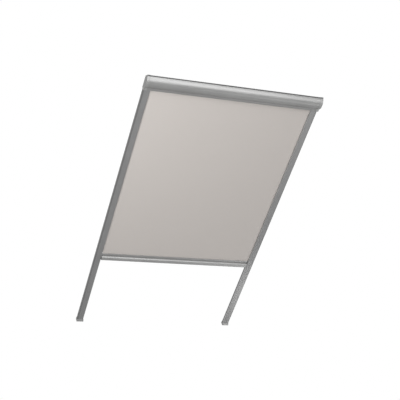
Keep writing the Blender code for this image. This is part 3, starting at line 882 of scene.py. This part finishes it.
@dataclass
class Cassette:
    """The cassette's extrusions: a base on the sash, a convex cover, a lip under it and a seal above it."""

    half: float = HALF_SPAN - 2 * GAP
    foot: float = -0.0312
    back_top: float = 0.0169
    ridge: float = 0.0145
    slope: float = math.radians(35.1)
    top: Point = (0.0173, 0.0257)
    hem: Point = (0.0220, -0.0188)
    hem_hook: float = 0.0198
    bulge: float = 0.0098
    face_steps: int = 64
    wall: float = 0.0012
    edge: float = 0.00025
    fabric_depth: float = 0.0065
    exit_gap: float = 0.0027
    lip_depth: float = 0.0190
    lip_ledge: float = 0.0036
    lip_drop: float = 0.0006
    port_box: Point = (0.0118, 0.0166)
    port_top: float = -0.0242
    port_radius: float = 0.00145
    ports: Sequence[Point] = ((0.0040, 0.0146), (0.0142, -0.0272))
    seal_top: float = 0.0286
    corner_top: float = 0.0297
    cap_inside: float = 0.3400
    cap_outside: float = 0.3520
    cap_growth: float = 0.0008

    def face(self, growth: float, start: float, end: float) -> np.ndarray:
        """The cover's arc from one height to another.

        The radius is (chord squared / 4 + bulge squared) / (2 * bulge), and the centre lies that radius less
        the bulge behind the middle of the chord.

        Args:
            growth: How far the arc is moved out.
            start: Height of its first point.
            end: Height of its last point.

        Returns:
            The arc's points.
        """
        (top, high), (hem, low) = self.top, self.hem
        fall, run = high - low, hem - top
        chord = math.hypot(run, fall)
        radius = (chord ** 2 / 4 + self.bulge ** 2) / (2 * self.bulge)
        back = radius - self.bulge
        centre = ((top + hem) / 2 - back * fall / chord, (high + low) / 2 - back * run / chord)
        radius += growth
        first, last = (math.asin((height - centre[1]) / radius) for height in (start, end))
        return polar(centre, radius, np.linspace(first, last, self.face_steps + 1))

    def slope_height(self, depth: float, growth: float) -> float:
        """Height of the sloping top at a depth, moved out by growth."""
        return self.back_top + depth * math.tan(self.slope) + growth / math.cos(self.slope)

    def outline(self, growth: float, back: float, corner: float = 0.0) -> np.ndarray:
        """The whole cassette seen from its end.

        Args:
            growth: How far it is grown all round, except at its back.
            back: Depth of its back.
            corner: Radius of its outer corners; the two inner ones get a fifth of it.

        Returns:
            The outline.
        """
        ridge, lip = self.ridge + growth, self.lip_depth + growth
        top, hem, foot = self.top[1] + growth, self.hem[1] - growth, self.foot - growth
        face = self.face(growth, top, hem)
        corners = np.concatenate([[(back, foot), (back, self.slope_height(back, growth)),
                                   (ridge, self.slope_height(ridge, growth)), (ridge, top)],
                                  face, [(lip, hem), (lip, foot)]])
        radii = np.zeros(len(corners))
        radii[[0, 1, 2, 4, 3 + len(face), -1]] = corner
        radii[[3, -2]] = corner / 5
        return rounded(np.column_stack([corners, radii]), 4)

    def cover(self) -> Piece:
        """The convex front shell, whose edges return to the base's flange and over the lip's edge.

        Returns:
            The cover.
        """
        flange, hook, high, low = self.ridge + GAP, self.hem_hook, self.top[1], self.hem[1]
        outer = self.face(0, high, low)
        inner = self.face(-self.wall, high - self.wall, low + self.wall)
        corners = np.concatenate([[(flange, high)], outer, [(hook, low), (hook, low + self.wall)],
                                  inner[::-1], [(flange, high - self.wall)]])
        radii = np.zeros(len(corners))
        radii[[0, 1, len(outer), len(outer) + 1, len(outer) + 2, -1]] = self.edge
        shell = Section(rounded(np.column_stack([corners, radii]), 3))
        return shell.drawn("cover_shell", -self.half, self.half)

    def lip(self) -> Piece:
        """The strip under the cover, a hollow sill with a screw port, which the fabric comes out behind.

        Returns:
            The lip.
        """
        back, front = self.fabric_depth + self.exit_gap, self.lip_depth
        inner, ahead, ledge = back + self.wall, front - self.wall, front - self.lip_ledge
        top, foot, ceiling = self.hem[1] - self.lip_drop, self.foot, self.port_top
        under, floor = top - self.wall, foot + self.wall
        port_back, port_front = self.port_box
        rows = [(back, foot, 0.0005), (front, foot, 0.0006), (front, top, 0.0004), (ledge, top, 0.0002),
                (ledge, under, 0.0002), (ahead, under, 0.0004), (ahead, floor, 0.0003),
                (port_front, floor, 0.0003), (port_front, ceiling, 0.0004), (port_back, ceiling, 0.0004),
                (port_back, floor, 0.0003), (inner, floor, 0.0003), (inner, ceiling, 0.0002),
                (back, ceiling, 0.0002)]
        port = polar(self.ports[1], self.port_radius, circle(24))
        return Section(rounded(rows, 4), [port]).drawn("lip_extrusion", -self.half, self.half)

    def seal(self, name: str, growth: float, top: float, reach: Sequence[float]) -> Piece:
        """A strip in front of the base's flange that hooks over it, just above the cover's top edge.

        Args:
            name: The piece's name.
            growth: How far it stands out from the cassette's own outline.
            top: Height of its top.
            reach: Where it starts and where it ends along X.

        Returns:
            The strip.
        """
        foot = self.top[1] + growth + GAP
        back, front = self.ridge + growth + GAP, self.top[0] + growth
        hook, hook_foot = back - self.wall, self.slope_height(back - GAP, growth) + GAP
        rows = [(back, foot, 0.0001), (front, foot, 0.0003), (front, top, 0.0009), (hook, top, 0.0004),
                (hook, hook_foot, 0.0002), (back, hook_foot, 0.0001)]
        return Section(rounded(rows, 5)).drawn(name, *reach)

    def build(self) -> None:
        """Make and finish the cassette's pieces."""
        dress("cassette_base", ALUMINIUM, edge=0.0002)
        take(self.cover(), ALUMINIUM, Body.FRAME, "cassette_cover")
        take(self.lip(), LIP_PAINTED_SHADE_METAL, Body.FRAME, "cassette_lip")
        inside = self.cap_inside - GAP
        take(ExitBrush(inside, self.fabric_depth).piece(), PILE, Body.FRAME, "exit_brush")
        take(self.seal("seal_strip", 0, self.seal_top, (-inside, inside)), RUBBER, Body.FRAME, "top_seal")
        for side in Side:
            reach = sorted(side.value * x for x in (self.cap_inside, self.cap_outside - self.cap_growth))
            corner = self.seal(f"seal_block_{side.word}", self.cap_growth, self.corner_top, reach)
            take(corner, RUBBER, Body.FRAME, f"seal_corner_{side.word}")


@dataclass
class ExitBrush:
    """The brush at the exit slot: a backing on the lip and rows of three-sided bristles."""

    reach: float
    fabric_depth: float
    heights: Point = (-0.0310, -0.0262)
    root: float = 0.0024
    backing: float = 0.0006
    rows: int = 4
    spacing: float = 0.0016
    margin: Point = (0.0010, 0.0008)
    bristle: float = 0.00016
    tip: float = 0.6
    length: float = 0.0017
    stray: Point = (0.0005, 0.0003)
    lean: float = 0.0004
    seed: int = 7

    def piece(self) -> Piece:
        """The backing with its bristles.

        A bristle is a prism from inside the backing to just off the fabric, narrower at its tip. Its place
        along the row and across it, and then its lean, come from one seeded draw.

        Returns:
            The brush.
        """
        low, high = self.heights
        root = self.fabric_depth + self.root
        back = root - self.backing
        outline = rounded([(depth, height, 0.0001) for depth, height in
                           ((back, low), (root, low), (root, high), (back, high))], 2)
        strip = Section(outline).carried("brush_strip", [(-self.reach, 0.0), (self.reach, 0.0)])
        end, inset = self.reach - self.margin[0], self.margin[1]
        shape = (self.rows, int(2 * end / self.spacing))
        draw = np.random.default_rng(self.seed)
        stray_x, stray_z = (draw.uniform(-stray, stray, shape) for stray in self.stray)
        x = np.linspace(-end, end, shape[1])[None] + stray_x
        z = np.linspace(low + inset, high - inset, self.rows)[:, None] + stray_z
        lean = draw.uniform(-self.lean, self.lean, (2, x.size))
        foot = np.stack([x.ravel(), np.full(x.size, GAP - root), z.ravel()], axis=-1)
        tip = foot + np.stack([lean[0], np.full(x.size, self.length), lean[1]], axis=-1)
        turn = circle(3)
        ring = self.bristle * np.stack([np.cos(turn), np.zeros(3), np.sin(turn)], axis=-1)
        ends = np.stack([foot[:, None] + ring, tip[:, None] + self.tip * ring], axis=1).reshape(-1, 3)
        start = 6 * np.arange(x.size)[:, None, None]
        sides = (start + np.array([(0, 1, 4, 3), (1, 2, 5, 4), (2, 0, 3, 5)])).reshape(-1, 4).tolist()
        caps = (start + np.array([(2, 1, 0), (3, 4, 5)])).reshape(-1, 3).tolist()
        bristles = bpy.data.meshes.new("bristles")
        bristles.from_pydata(ends, [], sides + caps)
        work = bmesh.new()
        work.from_mesh(strip.data)
        work.from_mesh(bristles)
        work.to_mesh(strip.data)
        work.free()
        bpy.data.meshes.remove(bristles)
        return strip


@dataclass
class EndCap:
    """A moulded cap with its boss for the roller, its spigot in the rail and its two screws."""

    side: Side
    cassette: Cassette
    roll: Point
    rim: float = 0.0008
    inner_edge: float = 0.0002
    behind: float = 0.0015
    back_cut: Point = (-0.05, 0.04)
    end_wall: float = 0.0002
    boss: float = 0.0058
    boss_reach: Point = (0.3410, 0.3505)
    shaft_bore: float = 0.0033
    pin_bore: float = 0.0023
    bore_reach: Point = (0.3400, 0.3490)
    spigot_inward: Point = (0.0112, 0.0030)
    spigot_depth: Point = (0.0120, 0.0018)
    spigot_drop: float = 0.0120
    hole: float = 0.0016
    hole_start: float = 0.3480
    sink: float = 0.0028
    sink_depth: float = 0.0012
    screw: Screw = Screw(head=0.0025, thick=0.0008, shank=0.0011, length=0.0092)

    def at(self, x: float, depth: float, height: float) -> Place:
        """A place given by its distance from the middle, its depth and its height."""
        return (self.side.value * x, -depth, height)

    def axle(self, reach: Point, point: Point, radius: float, sides: int) -> Piece:
        """A round bar along X through a (depth, height) point, to cut or join with."""
        return drum(self.at(reach[0], *point), self.at(reach[1], *point), radius, sides)

    def shell(self) -> Piece:
        """The cap: an end wall and a rim, hollowed for the extrusions, with boss, bore, spigot and sinks.

        Returns:
            The cap.
        """
        cassette, word, sign = self.cassette, self.side.word, self.side.value
        inside, outside, growth = cassette.cap_inside, cassette.cap_outside, cassette.cap_growth
        near, far = inside - BEYOND, outside + BEYOND
        stations = [(inside, self.inner_edge), (inside + self.inner_edge, 0.0), *quarter(outside, self.rim)]
        outline = cassette.outline(growth, -self.behind, self.rim + EASE)
        cap = Section(outline).carried(f"cap_{word}", [(sign * x, draw) for x, draw in stations])
        low, high = self.back_cut
        combine(cap, block(self.at(near, -2 * self.behind, low), self.at(far, 0, high)))
        pocket = Section(cassette.outline(GAP, -BEYOND))
        reach = [(sign * x, 0.0) for x in (near, HALF_SPAN - self.end_wall)]
        combine(cap, pocket.carried("pocket", reach))
        combine(cap, self.axle(self.boss_reach, self.roll, self.boss, 48), "UNION")
        bore = self.shaft_bore if self.side is Side.LEFT else self.pin_bore
        combine(cap, self.axle(self.bore_reach, self.roll, bore, 40))
        bottom = cassette.foot - growth
        heights = (bottom - self.spigot_drop, bottom + GAP)
        corners = zip(self.spigot_inward, self.spigot_depth, heights)
        combine(cap, block(*(self.at(HALF_SPAN - inward, *rest) for inward, *rest in corners)), "UNION")
        for port in cassette.ports:
            combine(cap, self.axle((self.hole_start, far), port, self.hole, 24))
            combine(cap, self.axle((outside - self.sink_depth, far), port, self.sink, 40))
        return smoothed(cap, 32)

    def build(self) -> None:
        """Make and finish the cap and its screws."""
        word = self.side.word
        take(self.shell(), PLASTIC, Body.FRAME, f"end_cap_{word}")
        for index, port in enumerate(self.cassette.ports, 1):
            top = self.at(self.cassette.cap_outside - EASE, *port)
            screw = self.screw.piece(f"cap_screw_head_{word}_{index}", top, (self.side.value, 0, 0))
            take(screw, ZINC, Body.FRAME, f"cap_screw_{word}_{index}")


# The side rails

@dataclass
class SideRail:
    """One side rail: its cover, the base that it is pushed over, its pile strip and its foot."""

    side: Side
    face: float = 0.026
    depth: float = 0.014
    bottom: float = -1.1884
    top: float = -0.0323
    wall: float = 0.0012
    flank: float = 0.0011
    slot: float = 0.0075
    edge: float = 0.0022
    foot_proud: Point = (0.0020, 0.0040)
    foot_behind: float = 0.0015
    foot_rounds: Point = (0.0008, 0.0016)
    foot_reach: Point = (0.0030, 0.0080)
    foot_band: float = 0.0034
    foot_brim: float = 0.0007
    foot_edge: float = 0.0005
    foot_ease: float = 0.0005
    brim_edge: Point = (0.0003, 0.0002)
    foot_cut: Point = (0.035, 0.003)

    def cover(self) -> Piece:
        """The bent-over extrusion that shows, with rounded long edges.

        Returns:
            The rail's cover.
        """
        face, depth, slot, flank, roof = self.face, self.depth, self.slot, self.flank, self.depth - self.wall
        edge, inside = self.edge, self.edge - self.wall
        rows = [(0.0, 0.0, 0.0002), (0.0, depth, edge), (face, depth, edge), (face, slot, 0.0004),
                (face - flank, slot, 0.0004), (face - flank, roof, inside), (flank, roof, inside),
                (flank, 0.0, 0.0002)]
        reach = [(self.bottom + GAP, 0.0), (self.top, 0.0)]
        return smoothed(Section(rounded(rows, 6)).carried(f"rail_face_{self.side.word}", reach, self.side))

    def foot(self) -> Piece:
        """The moulded cup over the rail's lower end: a straight band, drawn in above it to the rail.

        Above the shoulder the outline is scaled towards the rail. The share of that scale grows with the
        height over the shoulder, as half of rise + root(rise squared + ease squared), which eases the
        shoulder.

        Returns:
            The foot.
        """
        (sideways, ahead), behind, ease = self.foot_proud, self.foot_behind, self.foot_ease
        front, side, half = self.depth + ahead, self.face + sideways, self.face / 2
        low, high = self.bottom - self.foot_reach[0], self.bottom + self.foot_reach[1]
        rear, fore = self.foot_rounds
        rows = [(-sideways, -behind, rear), (-sideways, front, fore), (side, front, fore),
                (side, -behind, rear)]
        shoulder = low + self.foot_band
        stations = quarter(low, -self.foot_edge)[::-1]
        stations += [(shoulder + 2 * ease * step, 0.0) for step in np.linspace(-1, 1, 9)]
        stations += [(high - self.brim_edge[0], 0.0), (high, self.brim_edge[1])]
        cup = Section(rounded(rows, 7)).carried(f"foot_cup_{self.side.word}", stations, self.side)
        places = np.empty(3 * len(cup.data.vertices))
        cup.data.vertices.foreach_get("co", places)
        x, y, z = places.reshape(-1, 3).T
        rise = z - shoulder
        share = (rise + np.sqrt(rise ** 2 + ease ** 2)) / (2 * (high - shoulder)) * (rise > -2 * ease)
        sign = self.side.value
        middle = sign * (HALF_SPAN - half)
        x[:] = middle + (x - middle) * (1 - share * (sideways - self.foot_brim) / (half + sideways))
        y *= 1 - share * (ahead - self.foot_brim) / front
        cup.data.vertices.foreach_set("co", places)
        around, back = self.foot_cut
        combine(cup, block((sign * (HALF_SPAN - around), 0.0, low - BEYOND),
                           (sign * (HALF_SPAN + around), back, high + BEYOND)))
        combine(cup, block((sign * (HALF_SPAN + GAP), BEYOND, self.bottom),
                           (sign * (HALF_SPAN - self.face - GAP), -self.depth - GAP, high + BEYOND)))
        return smoothed(cup, 32)

    def build(self) -> None:
        """Make and finish the rail's pieces."""
        word = self.side.word
        take(self.cover(), RAIL_FACE, Body.FRAME, f"rail_cover_{word}")
        take(self.foot(), PLASTIC, Body.FRAME, f"rail_foot_{word}")
        dress(f"rail_base_{word}", RAIL_METAL, edge=0.0002)
        dress(f"rail_pile_{word}", PILE, edge=0.0002)


# The roller

@dataclass
class Roller:
    """Tube, plugs and wound fabric, with the spring motor inside the tube."""

    centre: Point = (0.015646, 0.0020)
    tube: float = 0.0070
    tube_wall: float = 0.0008
    tube_half: float = 0.3360
    tube_sides: int = 96
    groove_depth: float = 0.0003
    groove_angle: float = 0.22
    fabric_half: float = 0.3280
    wound: float = 0.0090361
    cloth: float = 0.00022
    turns: float = 7.0
    turn_steps: int = 40
    packing: float = 0.92
    spring: float = 0.0049
    spring_reach: Point = (-0.312, -0.102)
    coils: int = 20
    coil_steps: int = 24
    wire: float = 0.0006
    wire_sides: int = 12

    def tube_piece(self) -> Piece:
        """The tube, with a shallow groove along it that the fabric's edge is glued in.

        Its radius is the tube's, less the groove's depth times a smooth bump over a narrow angle.

        Returns:
            The tube.
        """
        angle = circle(self.tube_sides)
        bump = np.clip(1 - np.abs(angle - math.pi) / self.groove_angle, 0, 1)
        outer = polar(self.centre, self.tube - self.groove_depth * bump * bump * (3 - 2 * bump), angle)
        inner = polar(self.centre, self.tube - self.tube_wall, angle)
        return Section(outer, [inner]).drawn("tube_extrusion", -self.tube_half, self.tube_half)

    def wound_piece(self) -> Piece:
        """The fabric on the tube: one strip in a steady spiral that ends at the back of the roll.

        Its middle line's radius grows evenly with the angle, from half a thickness off the tube to as much
        inside the roll's own, and the strip takes most of the spiral's step.

        Returns:
            The wound fabric.
        """
        steps = int(self.turns * self.turn_steps)
        angle = np.linspace(-self.turns * 2 * math.pi, 0, steps + 1) + math.pi
        inner = self.tube + GAP
        middle = np.linspace(inner + self.cloth / 2, self.wound - self.cloth / 2, steps + 1)
        half = self.packing / 2 * (self.wound - inner) / self.turns
        outside, inside = (polar(self.centre, middle + away, angle) for away in (half, -half))
        ring = np.concatenate([outside, inside[::-1]])
        piece = Section(ring).carried("fabric_roll", [(-self.fabric_half, 0.0), (self.fabric_half, 0.0)])
        piece.data.shade_smooth()
        piece.data.set_sharp_from_angle(angle=math.radians(40))
        return piece

    def spring_piece(self) -> Piece:
        """The torsion spring: a round wire along a steady helix about the shaft.

        Each ring is path + wire * (cos t * outward + sin t * sideways), where outward leaves the shaft's axis
        and sideways is the path's direction crossed with it.

        Returns:
            The spring.
        """
        count, sides = self.coils * self.coil_steps, self.wire_sides
        turn = np.linspace(0, self.coils * 2 * math.pi, count + 1)
        axis = np.array([0.0, -self.centre[0], self.centre[1]])
        along = np.linspace(*self.spring_reach, count + 1)
        path = axis + np.stack([along, self.spring * np.cos(turn), self.spring * np.sin(turn)], axis=1)
        outward = unit((path - axis) * (0, 1, 1))
        sideways = np.cross(unit(np.gradient(path, axis=0)), outward)
        around = circle(sides)[None, :, None]
        bend = np.cos(around) * outward[:, None] + np.sin(around) * sideways[:, None]
        ends = np.arange(sides) + [[0], [count * sides]]
        faces = ring_faces(count + 1, sides) + ends.tolist()
        piece = solid("spring_wire", path[:, None] + self.wire * bend, faces)
        piece.data.shade_smooth()
        return piece

    def build(self) -> None:
        """Make and finish the roller's pieces, and dress what holds it."""
        take(self.tube_piece(), ALUMINIUM, Body.ROLLER, "roller_tube")
        take(self.wound_piece(), CLOTH, Body.ROLLER, "wound_fabric")
        take(self.spring_piece(), STEEL, Body.ROLLER, "torsion_spring")
        for node in ("drive_plug", "idle_plug", "spring_anchor"):
            dress(node, NYLON)
        for node in ("spring_shaft", "idle_pin"):
            dress(node, ZINC)


# The fabric

@dataclass
class Sheet:
    """The hanging fabric, from the back of the roll into the bottom bar's groove."""

    depth: float = 0.0065
    thick: float = 0.00022
    top: float = -0.0010
    foot: float = -0.8278
    notch: float = -0.8082
    wide: float = 0.3280
    narrow: float = 0.3205
    columns: int = 24

    def piece(self) -> Piece:
        """A flat grid: columns evenly spaced, rows at the roll, halfway, at the notch and in the groove.

        Below the notch the sheet is drawn in to the bar's length. Only the outer columns step in there, so
        the notch's row is given twice, wide and narrow.

        Returns:
            The sheet.
        """
        share = np.linspace(-1, 1, self.columns + 1)
        heights = np.array([self.top, (self.top + self.foot) / 2, self.notch, self.notch, self.foot])
        halves = np.where(np.arange(len(heights)) < 3, self.wide, self.narrow)[:, None]
        x = share * np.where(np.abs(share) == 1, halves, self.narrow)
        z = np.broadcast_to(heights[:, None], x.shape)
        number = np.arange(x.size).reshape(x.shape)
        quads = np.stack([number[:-1, :-1], number[:-1, 1:], number[1:, 1:], number[1:, :-1]], axis=-1)
        grid = np.stack([x, np.full(x.shape, -self.depth), z], axis=-1)
        piece = solid("blackout_sheet", grid, quads[[0, 1, 3]].reshape(-1, 4).tolist())
        thicken = piece.modifiers.new("thickness", "SOLIDIFY")
        thicken.thickness = self.thick
        thicken.offset = 0
        thicken.material_offset = 1
        return piece

    def build(self) -> None:
        sheet = self.piece()
        sheet.data.materials.append(CLOTH.material())
        sheet.data.materials.append(CLOTH_BACK.material())
        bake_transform(sheet)
        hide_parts("fabric_sheet")
        LOG.info("%s: %s, from the %s to the %s", sheet.name, CLOTH.name, Body.FRAME.value, Body.BAR.value)


# The bottom bar

@dataclass
class BottomBar:
    """The bar: a thin flange with the fabric's groove over a hollow grip, with its ends, shoes and brakes."""

    top: float = -0.8122
    height: float = 0.0288
    half: float = 0.3215
    step: float = 0.0140
    brow: float = 0.0105
    back: float = 0.0032
    front: float = 0.0164
    flange: Point = (0.0048, 0.0084)
    corner: float = 0.0010
    wall: float = 0.0012
    room_brow: float = 0.0034
    groove: Point = (0.00605, 0.00695)
    pocket: Point = (0.0046, 0.0084)
    pocket_heights: Point = (-0.0158, -0.0202)
    tongue: Point = (0.0059, 0.0071)
    tongue_heights: Point = (-0.0215, -0.0273)
    plate: float = 0.0018
    plate_edge: float = 0.0004
    screw_inset: float = 0.0100
    screw_hole: float = 0.0013
    hole_reach: Point = (0.0020, 0.0050)
    screw: Screw = Screw(head=0.0024, thick=0.0010, shank=0.0010, length=0.0048)

    def hung(self, rows: Sequence[Row], steps: int = 10) -> np.ndarray:
        """An outline whose heights are measured from the bar's top edge, rounded and hung in its place."""
        return rounded(rows, steps) + np.array([0.0, self.top])

    def grip(self) -> list[Row]:
        """Corners of the bar's lower part, from the brow at the front round to the back.

        The brow is a quarter round between the flange and the grip's front face.

        Returns:
            The corners with their radii.
        """
        (back, front), foot, corner = self.flange, -self.height, self.corner
        return [(front, -self.brow, 0.0), (self.front, -self.brow, self.front - front - EASE),
                (self.front, foot, corner), (self.back, foot, corner), (self.back, -self.step, corner),
                (back, -self.step, 0.0003)]

    def extrusion(self) -> Piece:
        """The bar itself, with its groove, spline pocket, two chambers and holes for the shoes' screws.

        Returns:
            The bar.
        """
        (back, front), (mouth, lip), (rear, fore) = self.flange, self.groove, self.pocket
        high, low = self.pocket_heights
        rows = [(back, 0.0, 0.0005), (mouth, 0.0, 0.0002), (mouth, high, 0.0002), (rear, high, 0.0004),
                (rear, low, 0.0004), (fore, low, 0.0004), (fore, high, 0.0004), (lip, high, 0.0002),
                (lip, 0.0, 0.0002), (front, 0.0, 0.0005)]
        roof, ceiling, floor = self.tongue_heights[0] + GAP, -self.step - self.wall, self.wall - self.height
        inner, outer = fore + self.wall, self.front - self.wall
        tongue_room = [(rear, roof, 0.0003), (fore, roof, 0.0003), (fore, floor, 0.0003),
                       (rear, floor, 0.0003)]
        grip_room = [(inner, ceiling, 0.0006), (outer, ceiling, self.room_brow), (outer, floor, 0.0006),
                     (inner, floor, 0.0006)]
        shape = Section(self.hung(rows + self.grip()), [self.hung(tongue_room, 4), self.hung(grip_room)])
        bar = shape.carried("bar_extrusion", eased(-self.half, self.half))
        for side in Side:
            x, z = self.screw_place(side)
            combine(bar, drum(*((x, -depth, z) for depth in self.hole_reach), self.screw_hole, 24))
        return smoothed(bar)

    def end(self, side: Side) -> Piece:
        """The plate that closes one end of the bar, with a slot for the shoe's tongue.

        Args:
            side: The end's side.

        Returns:
            The plate.
        """
        (back, front), (high, low), sign = self.flange, self.tongue_heights, side.value
        inner, outer, edge = self.half + GAP, self.half + self.plate, self.plate_edge
        stations = [(sign * x, draw) for x, draw in ((inner, EASE), (inner + EASE, 0.0), (outer - edge, 0.0),
                                                     (outer - EASE, EASE), (outer, edge))]
        outline = self.hung([(back, 0.0, 0.0005), (front, 0.0, 0.0005), *self.grip()])
        plate = Section(outline).carried(f"bar_plate_{side.word}", stations)
        combine(plate, block((sign * (inner - BEYOND), -self.tongue[0] + GAP, self.top + high + GAP),
                             (sign * (outer + BEYOND), -self.tongue[1] - GAP, self.top + low - GAP)))
        return smoothed(plate, 32)

    def screw_place(self, side: Side) -> Point:
        """Place along X and height of the screw that holds the bar on a shoe's tongue."""
        return side.value * (self.half - self.screw_inset), self.top + sum(self.tongue_heights) / 2

    def build(self) -> None:
        """Make and finish the bar's pieces."""
        take(self.extrusion(), BAR_METAL, Body.BAR, "bottom_bar")
        dress("fabric_spline", NYLON)
        for side in Side:
            word = side.word
            take(self.end(side), PLASTIC, Body.BAR, f"bar_end_{word}")
            dress(f"guide_shoe_{word}", NYLON, edge=0.0004)
            x, z = self.screw_place(side)
            top = (x, self.screw.thick - self.back + GAP, z)
            screw = self.screw.piece(f"shoe_screw_head_{word}", top, (0, 1, 0))
            take(screw, ZINC, Body.BAR, f"shoe_screw_{word}")
            dress(f"brake_spring_{word}", STEEL, edge=0.00008)
            dress(f"brake_pad_{word}", RUBBER, edge=0.0003)


# Camera and light

@dataclass(frozen=True)
class Lamp:
    """A rectangular lamp that faces a target and that the camera doesn't see."""

    name: str
    place: Place
    width: float
    height: float
    power: float
    target: Place = (0.0, 0.0, -0.5)

    def build(self) -> None:
        """Hang the lamp."""
        data = bpy.data.lights.new(self.name, "AREA")
        data.shape = "RECTANGLE"
        data.size = self.width
        data.size_y = self.height
        data.energy = self.power
        lamp = linked(self.name, data)
        lamp.location = self.place
        lamp.rotation_euler = (Vector(self.target) - Vector(self.place)).to_track_quat("-Z", "Y").to_euler()
        lamp.visible_camera = False


@dataclass
class Studio:
    """A camera at the photograph's angle, a pale floor and soft lamps.

    The camera's heading is turned from +Y towards +X, its dip is downwards and its roll is about the view.
    """

    place: Place = (-1.310298, -2.728222, 1.516870)
    heading: float = math.radians(25.8928)
    dip: float = math.radians(33.7643)
    roll: float = math.radians(19.6572)
    lens: float = 82.034
    floor_height: float = -1.75
    floor_reach: float = 12.0
    floor_shade: float = 0.80
    surround: float = 0.28
    lamps: Sequence[Lamp] = (
        Lamp("front_softbox", (0.77, -2.31, 2.02), 1.8, 2.7, 61.0),
        Lamp("overhead_panel", (0.05, -0.30, 2.99), 1.6, 1.6, 26.0),
        Lamp("left_key", (-1.10, -1.10, 0.30), 0.8, 0.8, 20.0),
        Lamp("low_fill", (1.90, -2.70, -1.35), 1.6, 0.7, 7.5, (0.1, 0.0, -0.8)),
        Lamp("low_spot", (0.60, -0.40, -1.34), 0.16, 0.16, 0.40, (0.33, 0.0, -1.00)),
        Lamp("back_fill", (0.60, 3.00, 0.90), 2.4, 2.4, 60.0),
    )

    def camera(self) -> None:
        """Place the camera and turn it by roll, then dip, then heading."""
        data = bpy.data.cameras.new("camera")
        data.lens = self.lens
        data.sensor_width = 36.0
        data.clip_end = 100.0
        turn = (Matrix.Rotation(-self.heading, 3, "Z") @ Matrix.Rotation(math.pi / 2 - self.dip, 3, "X")
                @ Matrix.Rotation(self.roll, 3, "Z"))
        camera = linked("camera", data)
        camera.matrix_world = Matrix.LocRotScale(Vector(self.place), turn.to_quaternion(), None)
        bpy.context.scene.camera = camera

    def seen(self, tree: Tree) -> Socket:
        """1 on camera, glossy and transmission rays, 0 on the others.

        Args:
            tree: The tree that asks.

        Returns:
            The source socket.
        """
        path = tree.add("LightPath").outputs
        total = tree.math("MAXIMUM", path["Is Camera Ray"], path["Is Glossy Ray"])
        return tree.math("MAXIMUM", total, path["Is Transmission Ray"])

    def world(self) -> None:
        """White where it is seen, and a plain soft grey as light."""
        world = bpy.data.worlds.new("surround")
        world.use_nodes = True
        bpy.context.scene.world = world
        tree = Tree(world.node_tree)
        strength = tree.math("MULTIPLY_ADD", self.seen(tree), 1 - self.surround, self.surround)
        tree.feed(world.node_tree.nodes["Background"], {"Color": (1.0, 1.0, 1.0, 1.0), "Strength": strength})

    def floor(self) -> None:
        """A pale floor below the blind: diffuse, white where it is seen, and open from below."""
        corners = self.floor_reach * np.array([(-1, -1), (1, -1), (1, 1), (-1, 1)])
        mesh = bpy.data.meshes.new("floor")
        mesh.from_pydata(np.column_stack([corners, np.full(4, self.floor_height)]), [], [(0, 1, 2, 3)])
        material = bpy.data.materials.new("pale_floor")
        material.use_nodes = True
        material.node_tree.nodes.clear()
        tree = Tree(material.node_tree)
        matt = tree.add("BsdfDiffuse", {"Color": (*(self.floor_shade,) * 3, 1.0)}).outputs[0]
        glow = tree.add("Emission", {"Color": (1.0, 1.0, 1.0, 1.0), "Strength": 1.0}).outputs[0]
        pale = tree.add("MixShader", {0: self.seen(tree), 1: matt, 2: glow}).outputs[0]
        below = tree.add("NewGeometry").outputs["Backfacing"]
        clear = tree.add("BsdfTransparent").outputs[0]
        both = tree.add("MixShader", {0: below, 1: pale, 2: clear}).outputs[0]
        tree.add("OutputMaterial", {"Surface": both})
        mesh.materials.append(material)
        linked("floor", mesh)

    def build(self) -> None:
        """Set up the camera, the world, the floor and the lamps."""
        bpy.context.scene.view_settings.view_transform = "Standard"
        self.camera()
        self.world()
        self.floor()
        for lamp in self.lamps:
            lamp.build()


def main() -> None:
    """Build the studio and the blind."""
    logging.basicConfig(level=logging.INFO, format="%(message)s")
    Studio().build()
    cassette, roller = Cassette(), Roller()
    cassette.build()
    roller.build()
    for side in Side:
        EndCap(side, cassette, roller.centre).build()
        SideRail(side).build()
    Sheet().build()
    BottomBar().build()


if __name__ == "__main__":
    main()
